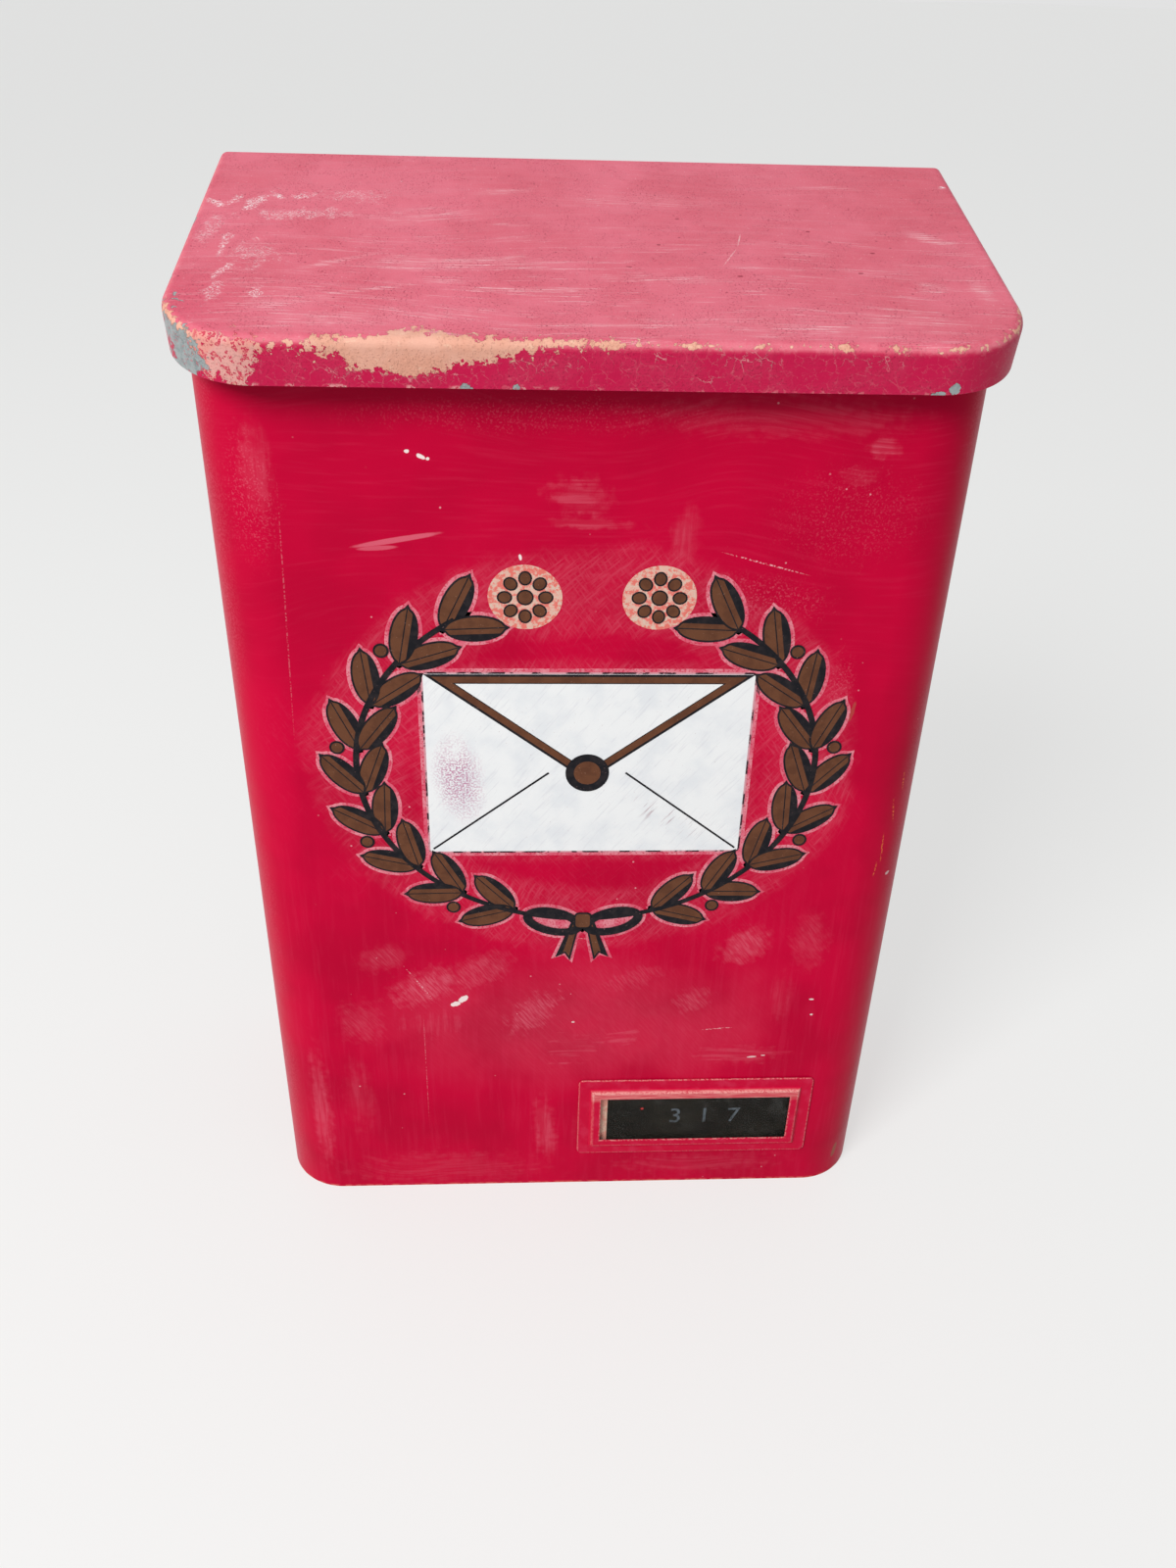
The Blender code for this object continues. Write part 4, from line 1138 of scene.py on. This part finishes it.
def lidPaint():
    paint = Paint("lidFaded", hingeAxis, (lidSlope, 0, 0), specular=0.35, ior=1.25)
    x, y, z = paint.axes()
    form = lidForm
    ahead = y * -1
    depth = form["top"] / mm - z
    corner = form["corner"] / mm
    overX = abs(x) - (form["halfWidth"] / mm - corner)
    overY = ahead - (-form["frontEdge"] / mm - corner)
    inward = corner - length(overX.most(0.0), overY.most(0.0)) - overX.most(overY).least(0.0)
    down = depth - inward  # under 0 on the top, over 0 down the lip

    cloud = paint.noise(42, detail=3, shift=4)
    tiny = paint.noise(0.75, detail=3, shift=3)
    rough = paint.noise(2.6, detail=5, shift=8, rough=0.65)
    coarse = paint.noise(11, detail=3, shift=15)
    ragged = paint.noise(4, detail=4, shift=11) - 0.5
    bent = paint.moved(Y=paint.noise(90, detail=0, shift=30) * 22)
    streak = grain(bent, 0.75, (34, 1, 1), detail=4, rough=0.6)
    wide = grain(bent, 3.5, (12, 1, 1), detail=3, shift=5)
    fine = grain(bent, 0.65, (30, 1, 1), detail=5, shift=12, rough=0.72)
    strokes = paint.noise(0.55, (6, 1, 1), (0, 0, radians(38)), 21, 5, 0.7).most(
        paint.noise(0.55, (6, 1, 1), (0, 0, radians(-52)), 27, 5, 0.7))

    def marks(name, wobble, soft):
        return gather(paint.space, lidMarks[name], 'Z', ragged * wobble, soft)

    onTop = depth.rise(3.0, 0.6)
    paint.base(cloud.rise(0.36, 0.68), chalk, chalkDeep)
    paint.over(x.rise(60, 140) * ahead.rise(80, 10) * 0.5, (0.62, 0.085, 0.125))
    paint.over(wide.rise(0.45, 0.75) * 0.28, (0.70, 0.20, 0.26))
    leftFront = x.rise(-105, -136) * ahead.rise(85, 130)
    beforeBend = down.rise(-5, -1) * coarse.rise(0.3, 0.6) * 0.5
    paint.over((leftFront * 0.55).most(beforeBend), (0.58, 0.045, 0.10))
    chalky = marks("whiteStreaks", 1.1, 0.9) * (0.18 + streak.rise(0.46, 0.62) * 0.82)
    chalky = chalky.most(streak.rise(0.62, 0.70) * ahead.rise(60, 125) * cloud.rise(0.4, 0.6) * 0.8)
    paint.over(tiny.rise(0.42, 0.60) * 0.16, (0.74, 0.25, 0.31))
    paint.over(chalky * 0.62, chalkWhite)
    broad = wide.rise(0.5, 0.62) * ahead.rise(40, 100)
    crisp = fine.rise(0.55, 0.58) * (0.05 + chalky * 1.5 + broad * 0.35)
    paint.over(crisp.least(1.0) * 0.8, (0.87, 0.60, 0.62))
    flecks = paint.noise(0.5, detail=2, shift=41).rise(0.44, 0.52)
    speckles = marks("speckled", 3.6, 0.9) * strokes.rise(0.53, 0.57).most(tiny.rise(0.53, 0.57)) * flecks
    paint.over(speckles, (0.88, 0.74, 0.75))
    paint.over(marks("scratches", 0, 0.6) * tiny.rise(0.42, 0.52) * 0.8, (0.85, 0.55, 0.55))
    pits = marks("pits", 0.9, 0.3).most(
        paint.cells(6.5, shift=3).rise(0.09, 0.05) * cloud.rise(0.42, 0.55) * 0.8)
    paint.over(pits * 0.75, (0.26, 0.014, 0.035))
    crumbs = tiny.rise(0.58, 0.63) * coarse.rise(0.40, 0.54)
    paint.over(crumbs * 0.6, (0.48, 0.025, 0.075))
    grit = paint.cells(3.2, shift=9).rise(0.13, 0.07) * coarse.rise(0.44, 0.58)
    paint.over(grit * 0.55, (0.44, 0.03, 0.075))
    paleGrit = paint.cells(2.6, shift=21).rise(0.12, 0.06) * coarse.rise(0.56, 0.44)
    paint.over(paleGrit * 0.5, chalkWhite)

    # lip: deeper crimson with a net of fine pale cracks
    lipColour = blend(coarse.rise(0.35, 0.7), (0.55, 0.008, 0.066), (0.56, 0.022, 0.082))
    crooked = paint.moved(X=rough * 7, Y=coarse * 6, Z=rough * -7)
    net = cells(crooked, 3.8, 'DISTANCE_TO_EDGE', 1).rise(0.04, 0.012) * rough.rise(0.42, 0.52)
    lipSpace = x.node("CombineXYZ", {}, {"X": x, "Y": depth * -1})
    clusters = gather(lipSpace, lidMarks["crackle"], 'Z', ragged * 1.2, 0.5)
    net = net * (0.16 + clusters * 0.75)
    lipColour = blend(net * 0.9, lipColour, (0.82, 0.32, 0.35))
    lipFoot = depth.rise(14.9, 15.8) * rough.rise(0.50, 0.56) * coarse.rise(0.47, 0.56)
    lipFoot = lipFoot * (0.35 + x.rise(20, -30) * 0.65)
    lipColour = blend(lipFoot * 0.75, lipColour, (0.78, 0.36, 0.36))
    paint.over(down.rise(0.4, 2.6), lipColour)
    # a paler band along the bend: partly a painted highlight where the rounded bend catches the light, partly
    # worn paint
    rimBand = (3.4 - abs(down - 0.2)).rise(0.0, 3.0)
    paint.over(rimBand * (0.2 + rough.rise(0.4, 0.65) * 0.5), (0.76, 0.22, 0.27))

    # primer laid bare along the front bend, bare zinc at the left corner
    frontOnly = ahead.rise(112, 118)
    mottled = x.rise(-104, -110) * x.rise(-131, -124)
    jag = (rough - 0.5) * 21 + (coarse - 0.5) * 12 + (tiny - 0.5) * 3
    lower, upper = profile(x, lidMarks["primerDown"]), profile(x, lidMarks["primerUp"])
    deepInside = (lower - down).least(down + upper) - 1.0
    bare = (deepInside + jag * (0.9 + mottled * 0.6)).rise(-0.1, 0.2) * frontOnly
    primerTone = blend(coarse.rise(0.35, 0.65), primer, (0.72, 0.35, 0.25))
    mixedTone = blend(coarse.rise(0.44, 0.54), (0.72, 0.27, 0.24), (0.71, 0.34, 0.32))
    primerTone = blend(mottled * 0.8, primerTone, mixedTone)
    primerTone = blend(mottled * rough.rise(0.55, 0.58) * 0.95, primerTone, (0.54, 0.018, 0.07))
    primerTone = blend(rough.rise(0.60, 0.68) * 0.5, primerTone, (0.84, 0.55, 0.40))
    paint.over(bare, primerTone)
    patches = gather(lipSpace, lidMarks["zincLip"], 'Z', ragged * 2.2 + (rough - 0.5) * 2.4, 0.12) * frontOnly
    besideBend = (3.4 - abs(down + ragged * 4)).rise(0, 1.0)
    zinc = patches.most(gather(paint.space, lidMarks["zincSide"], 'Z', ragged * 1.2, 0.2) * besideBend)
    zincTone = blend(rough.rise(0.38, 0.66), (0.36, 0.40, 0.40), (0.24, 0.285, 0.29))
    zincTone = blend(tiny.rise(0.58, 0.62) * coarse.rise(0.45, 0.55) * 0.85, zincTone, (0.66, 0.13, 0.17))
    paint.over(zinc, zincTone)
    sideFlecks = tiny.rise(0.54, 0.6) * rough.rise(0.48, 0.56) * x.rise(-138.0, -140.4)
    paint.over(sideFlecks * (3.0 - abs(down)).rise(0, 1), (0.80, 0.26, 0.14))

    lumps = paint.cells(6).rise(0.2, 0.0) * coarse.rise(0.45, 0.6)
    height = (streak * 0.4 + fine * 0.35 + tiny * 0.45 + crumbs * 0.6 + grit * 1.2 + lumps * 0.9 + net * 0.6
              + rough * rimBand * 0.9 + coarse * 0.8 - bare * 1.4 - zinc * 1.8 + onTop * wide * 0.5)
    roughness = 0.46 + streak * 0.1 + chalky * 0.12 - zinc * 0.08 - down.rise(0.5, 4) * 0.12
    return paint.done(roughness, height, 0.85, 0.22 * mm, bump(cloud, 1.0, 1.0 * mm), metallic=zinc * 0.35)


def insidePaint():
    paint = Paint("insideCrimson", specular=0.25)
    cloud = paint.noise(30, detail=5)
    specks = paint.noise(1.6, detail=4, shift=6)
    paint.base(cloud.rise(0.4, 0.7), (0.36, 0.004, 0.022), (0.27, 0.004, 0.016))
    paint.over(specks.rise(0.66, 0.70) * cloud.rise(0.45, 0.6) * 0.8, (0.24, 0.05, 0.03))
    return paint.done(0.42 + cloud * 0.2 + specks * 0.1, specks + cloud * 2, 0.5)


def backPaint():  # duller, rubbed by the wall and round the screws
    paint = Paint("backCrimson", specular=0.4, ior=1.3)
    x, _, z = paint.axes()
    cloud = paint.noise(45, detail=4)
    tiny = paint.noise(0.9, detail=3, shift=3)
    rough = paint.noise(5, detail=5, shift=8, rough=0.65)
    runs = paint.noise(3.0, (1, 1, 26), shift=5, detail=4)
    level = paint.noise(1.2, (30, 1, 1), (0, radians(8), 0), 9, 3)
    paint.base(cloud.rise(0.36, 0.66), (0.47, 0.004, 0.032), (0.35, 0.004, 0.024))
    paint.over(runs.rise(0.48, 0.72) * 0.30, (0.52, 0.05, 0.08))
    paint.over(cloud.rise(0.50, 0.68) * tiny.rise(0.42, 0.6) * 0.5, (0.20, 0.045, 0.045))
    scuffed = level.rise(0.63, 0.73) * rough.rise(0.50, 0.60) * cloud.rise(0.40, 0.56)
    paint.over(scuffed * 0.55, (0.66, 0.36, 0.35))
    marked = gather(paint.space, backMarks, 'Y', (rough - 0.5) * 2.2, 0.2)
    paint.over(marked.rise(0.05, 0.5), (0.70, 0.33, 0.24))
    bare = marked.rise(0.5, 0.75)
    paint.over(bare, bareZinc)
    atEdge = abs(x).rise(131.5, 136.5).most(z.rise(6, 0.5)) * rough.rise(0.46, 0.56)
    paint.over(atEdge * 0.7, (0.30, 0.12, 0.07))
    height = tiny * 0.5 + rough * 0.8 + runs * 0.4 - bare * 1.2
    return paint.done(0.40 + cloud * 0.15 + scuffed * 0.2, height, 0.5, 0.12 * mm, metallic=bare * 0.6)


def zincMetal():
    paint = Paint("hingeZinc", metallic=0.9)
    cloud = paint.noise(9, detail=5)
    flecks = paint.noise(1.8, (2, 1, 1), detail=4, shift=8).rise(0.62, 0.66)
    paint.base(cloud.rise(0.45, 0.65), bareZinc, (0.22, 0.24, 0.25))
    paint.over(flecks * 0.9, crimson)
    return paint.done(0.4 + cloud * 0.25, cloud + flecks, 0.4, 0.05 * mm, metallic=0.9 - flecks * 0.9)


def rivetPaint():
    paint = Paint("rivetCrimson", specular=0.3)
    cloud = paint.noise(2.5, detail=4)
    bare = cloud.rise(0.57, 0.62)
    paint.base(bare, crimson, bareZinc)
    return paint.done(0.35 + cloud * 0.2, cloud - bare * 0.6, 0.4, 0.06 * mm, metallic=bare * 0.7)


def framePaint():
    paint = Paint("holderCrimson", specular=0.4, ior=1.2)
    x, _, z = paint.axes()
    form = holderForm
    low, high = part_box("name_frame")
    across = abs(x - (low.x + high.x) / 2 / mm) - form["width"] / 2 / mm
    above = abs(z - (low.z + high.z) / 2 / mm) - form["height"] / 2 / mm
    outward = across.most(above)  # 0 at the outer edge, under 0 further in
    ridge = -(form["flange"] + form["slope"]) / mm
    window = ridge - form["face"] / mm
    isTop = z.rise(high.z / mm - 13, high.z / mm - 9)
    cloud = paint.noise(6, detail=4)
    tiny = paint.noise(0.8, detail=3, shift=3)
    level = paint.noise(0.7, (16, 1, 1), shift=9, detail=3)
    paint.base(cloud.rise(0.45, 0.75) * 0.5, crimson, crimsonPale)
    # partly painted highlight: the upward-facing top of the raised face made paler as if lit, streaked like
    # worn paint
    topFaceWearAndHighlight = outward.rise(ridge + 1.2, ridge + 0.2) * isTop
    paint.over(topFaceWearAndHighlight * (0.35 + level.rise(0.4, 0.62) * 0.65) * 0.8, (0.76, 0.25, 0.24))
    # worn edges, stronger along the top edges as a painted highlight
    ridgeWearAndHighlight = (1.0 - abs(outward - ridge)).rise(0, 0.9) * (0.25 + isTop * 0.6) * tiny.rise(0.38, 0.55)
    windowWear = (0.9 - abs(outward - window)).rise(0, 0.8) * tiny.rise(0.42, 0.6) * 0.6
    rim = (0.8 - abs(outward)).rise(0, 0.7) * tiny.rise(0.4, 0.6) * 0.6
    paint.over(ridgeWearAndHighlight.most(windowWear).most(rim), (0.80, 0.36, 0.33))
    return paint.done(0.30 + cloud * 0.15 + topFaceWearAndHighlight * 0.15, cloud * 2 + tiny * 0.5, 0.5, 0.15 * mm)


def stripPlastic():
    paint = Paint("stripBlack", specular=0.4, ior=1.16)
    cloud = paint.noise(9, (2.5, 1, 1), detail=5, rough=0.6)
    tiny = paint.noise(0.6, detail=3, shift=3)
    paint.base(cloud.rise(0.42, 0.72), (0.006, 0.005, 0.0035), (0.015, 0.013, 0.009))
    paint.over(tiny.rise(0.64, 0.68) * 0.3, (0.12, 0.11, 0.10))
    paint.over(spot(paint.space, (30.4, 50.5), (0.8, 0.6), 10, 'Y').rise(1.1, 0.7), (0.55, 0.04, 0.04))
    return paint.done(0.40 + cloud * 0.25, cloud, 0.3)


def digitPaint():
    paint = Paint("digitGrey", roughness=0.5, specular=0.3, ior=1.16)
    worn = paint.noise(1.6, detail=4)
    paint.base(worn.rise(0.48, 0.66), (0.095, 0.115, 0.130), (0.040, 0.046, 0.048))
    return paint.done()


def paneGlaze():
    paint = Paint("paneClear", roughness=0.12, specular=0.4, ior=1.3)
    smear = paint.noise(7, (1, 1, 2.2), (0, radians(35), 0), 4, detail=5)
    rubbed = paint.noise(0.6, (14, 1, 1), (0, radians(-24), 0), detail=3)
    paint.base(smear, (0.55, 0.56, 0.53), (0.75, 0.76, 0.73))
    clouded = 0.005 + smear.rise(0.52, 0.8) * 0.022 + rubbed.rise(0.62, 0.74) * 0.035
    return paint.done(0.1 + smear * 0.25, alpha=clouded)


def whitePaint():
    paint = Paint("emblemWhite", specular=0.15)
    cloud = paint.noise(14, detail=4)
    brushed = paint.noise(0.8, (14, 1, 1), (0, radians(52), 0), 5, detail=3)
    tiny = paint.noise(0.8, detail=4, shift=3)
    paint.base(cloud.rise(0.4, 0.7), (0.82, 0.83, 0.83), (0.74, 0.76, 0.78))
    paint.over(brushed.rise(0.56, 0.7) * 0.35, (0.62, 0.62, 0.66))
    rubbed = spot(paint.space, (-50, 232), (10, 20), 8, 'Y') + (cloud - 0.5) * 0.8
    worn = rubbed.rise(1.2, 0.3) * tiny.rise(0.47, 0.55) * cloud.rise(0.3, 0.5)
    paint.over(worn * 0.85, (0.48, 0.16, 0.30))
    scuffs = spot(paint.space, (32, 214), (22, 7), -28, 'Y').rise(1.0, 0.2) * brushed.rise(0.56, 0.64)
    paint.over(scuffs.most(tiny.rise(0.68, 0.71)) * 0.6, (0.42, 0.28, 0.30))
    height = brushed * 0.5 + tiny * 0.4 - worn * 0.8
    return paint.done(0.38 + cloud * 0.15 + worn * 0.15, height, 0.4, 0.06 * mm)


def mottledPaint():  # salmon pink, flaked
    paint = Paint("emblemGround", specular=0.4, ior=1.2)
    rough = paint.noise(2.0, detail=5, shift=8, rough=0.65)
    net = paint.cells(2.0, 'DISTANCE_TO_EDGE', 1).rise(0.09, 0.03)
    paint.base(rough.rise(0.44, 0.56), (0.72, 0.17, 0.14), (0.72, 0.42, 0.34))
    paint.over(net * rough.rise(0.42, 0.5) * 0.7, (0.62, 0.52, 0.42))
    return paint.done(0.4 + rough * 0.2, rough - net * 0.4, 0.5, 0.06 * mm)


plainPaints = {  # cloud and flecks: size in mm, range and share; relief: strength and depth in mm
    # older, paler red that shows round the design
    "emblemHalo": {"cloud": (7, 0.38, 0.62), "under": (0.66, 0.10, 0.16), "over": (0.72, 0.24, 0.29),
                   "flecks": (0.9, 0.50, 0.62, 0.7), "fleck": (0.52, 0.008, 0.045), "rough": (0.45, 0.1),
                   "relief": (0.5, 0.06)},
    "emblemBrown": {"cloud": (5, 0.4, 0.65), "under": (0.135, 0.052, 0.026), "over": (0.105, 0.040, 0.021),
                    "flecks": (0.8, 0.66, 0.70, 0.8), "fleck": (0.30, 0.17, 0.12), "rough": (0.36, 0.15),
                    "relief": (0.3, 0.05)},
    "emblemInk": {"cloud": (3, 0.4, 0.7), "under": (0.009, 0.009, 0.012), "over": (0.022, 0.018, 0.020),
                  "flecks": (0.8, 0.66, 0.70, 0.6), "fleck": (0.22, 0.12, 0.12), "rough": (0.33, 0.15),
                  "relief": None},
}


def plainPaint(name):
    paint, form = Paint(name, specular=0.4, ior=1.2), plainPaints[name]
    size, low, high = form["cloud"]
    cloud = paint.noise(size, detail=4)
    paint.base(cloud.rise(low, high), form["under"], form["over"])
    size, low, high, share = form["flecks"]
    tiny = paint.noise(size, detail=4, shift=3)
    paint.over(tiny.rise(low, high) * share, form["fleck"])
    least, more = form["rough"]
    if form["relief"] is None:
        return paint.done(least + cloud * more)
    strength, depth = form["relief"]
    return paint.done(least + cloud * more, tiny, strength, depth * mm)


def brokenPaint():  # the thin dark outline, broken by wear
    paint = Paint("emblemOutline", specular=0.4, ior=1.2)
    gaps = paint.noise(6, detail=5, shift=2, rough=0.65).rise(0.46, 0.54)
    paint.base(gaps, (0.045, 0.018, 0.026), (0.62, 0.30, 0.34))
    return paint.done(0.4 + gaps * 0.1)


# Floor, light and camera

studio = {
    "floorColour": (0.80, 0.80, 0.79),
    "floorBounce": (0.58, 0.57, 0.56),  # what the floor gives back to the box
    "paleColour": (0.94, 0.94, 0.93),  # the pale glow the camera sees in a share of the floor
    "paleShare": 0.64,
    "skyColour": (0.76, 0.76, 0.76),
    "worldColour": (0.96, 0.98, 1.0),
    "worldStrength": 0.45,
    "keyPlace": (-1.2, -1.6, 1.85),
    "keySize": 1.0,
    "keyPower": 58,
    "target": (0, 0, 0.2),
}


def makeStudio():
    clearPick()
    bpy.ops.mesh.primitive_plane_add(size=60, location=(0, 0, 0))
    floor = named("floor")
    paint = Paint("floorPale", roughness=0.6, specular=0.2)
    place, tree = paint.space, paint.tree
    paint.shader.inputs["Base Color"].default_value = (*studio["floorColour"], 1)
    coat(floor, [paint.material])
    world = bpy.data.worlds.new("studioWorld")
    bpy.context.scene.world = world
    world.use_nodes = True
    nodes, even = world.node_tree.nodes, world.node_tree.nodes["Background"]
    even.inputs["Color"].default_value = (*studio["worldColour"], 1)
    even.inputs["Strength"].default_value = studio["worldStrength"]
    lit = Wire(world.node_tree, even.outputs[0])

    def seenDirectly(wire):  # by the camera, or by it through gloss or glass
        rays = ("Is Camera Ray", "Is Glossy Ray", "Is Transmission Ray")
        direct, glossy, through = [wire.node("LightPath", {}, {}, ray) for ray in rays]
        return direct.most(glossy).most(through)

    pale = (*studio["paleColour"], 1)
    sky = lit.node("Background", {}, {"Color": (*studio["skyColour"], 1), "Strength": 1.0})
    mixed = lit.node("MixShader", {}, {0: seenDirectly(lit), 1: lit, 2: sky})
    world.node_tree.links.new(mixed.socket, nodes["World Output"].inputs["Surface"])
    glow = place.node("Emission", {}, {"Color": pale, "Strength": 1.0})
    plain = Wire(tree, paint.shader.outputs[0])
    shown = place.node("MixShader", {}, {0: studio["paleShare"], 1: plain, 2: glow})
    dull = place.node("BsdfDiffuse", {}, {"Color": (*studio["floorBounce"], 1)})
    mixed = place.node("MixShader", {}, {0: seenDirectly(place), 1: dull, 2: shown})
    tree.links.new(mixed.socket, tree.nodes["Material Output"].inputs["Surface"])

    key = bpy.data.lights.new("keyLight", 'AREA')
    key.shape, key.size, key.energy = 'SQUARE', studio["keySize"], studio["keyPower"]
    lamp = placed("keyLight", key)
    lamp.location = studio["keyPlace"]
    lamp.rotation_euler = (Vector(studio["target"]) - lamp.location).to_track_quat('-Z', 'Y').to_euler()
    bpy.context.scene.view_settings.view_transform = 'Standard'
    print("studio ready")


shot = {
    "place": (-26.3 * mm, -487.5 * mm, 502.5 * mm),
    "heading": 3.56,  # degrees, to the right
    "pitch": 32.34,  # degrees, down
    "roll": 1.78,
    "lens": 29.81,
    "sensor": 36,
}


def makeCamera():
    data = bpy.data.cameras.new("shot")
    data.lens, data.sensor_width, data.sensor_fit = shot["lens"], shot["sensor"], 'AUTO'
    data.clip_start, data.clip_end = 0.01, 100
    camera = placed("shot", data)
    turn = (Matrix.Rotation(radians(-shot["heading"]), 4, 'Z')
            @ Matrix.Rotation(radians(90 - shot["pitch"]), 4, 'X')
            @ Matrix.Rotation(radians(shot["roll"]), 4, 'Z'))
    camera.matrix_world = Matrix.Translation(shot["place"]) @ turn
    bpy.context.scene.camera = camera


makeCamera()
inside = insidePaint()
makeShell(bodyPaint(), inside)
makeLid(lidPaint(), inside)
makeHolder(framePaint(), stripPlastic(), digitPaint(), paneGlaze())
makeRivets(rivetPaint())
makeSheets({"back_paint": backPaint(), "zinc_steel": zincMetal()})
emblemPaints, halo = [plainPaint("emblemBrown"), plainPaint("emblemInk")], plainPaint("emblemHalo")
makeWreath(emblemPaints, halo)
makeBow(emblemPaints, halo)
makeRosettes(emblemPaints, mottledPaint())
makeEnvelope(whitePaint(), brokenPaint(), emblemPaints, halo)
makeStudio()
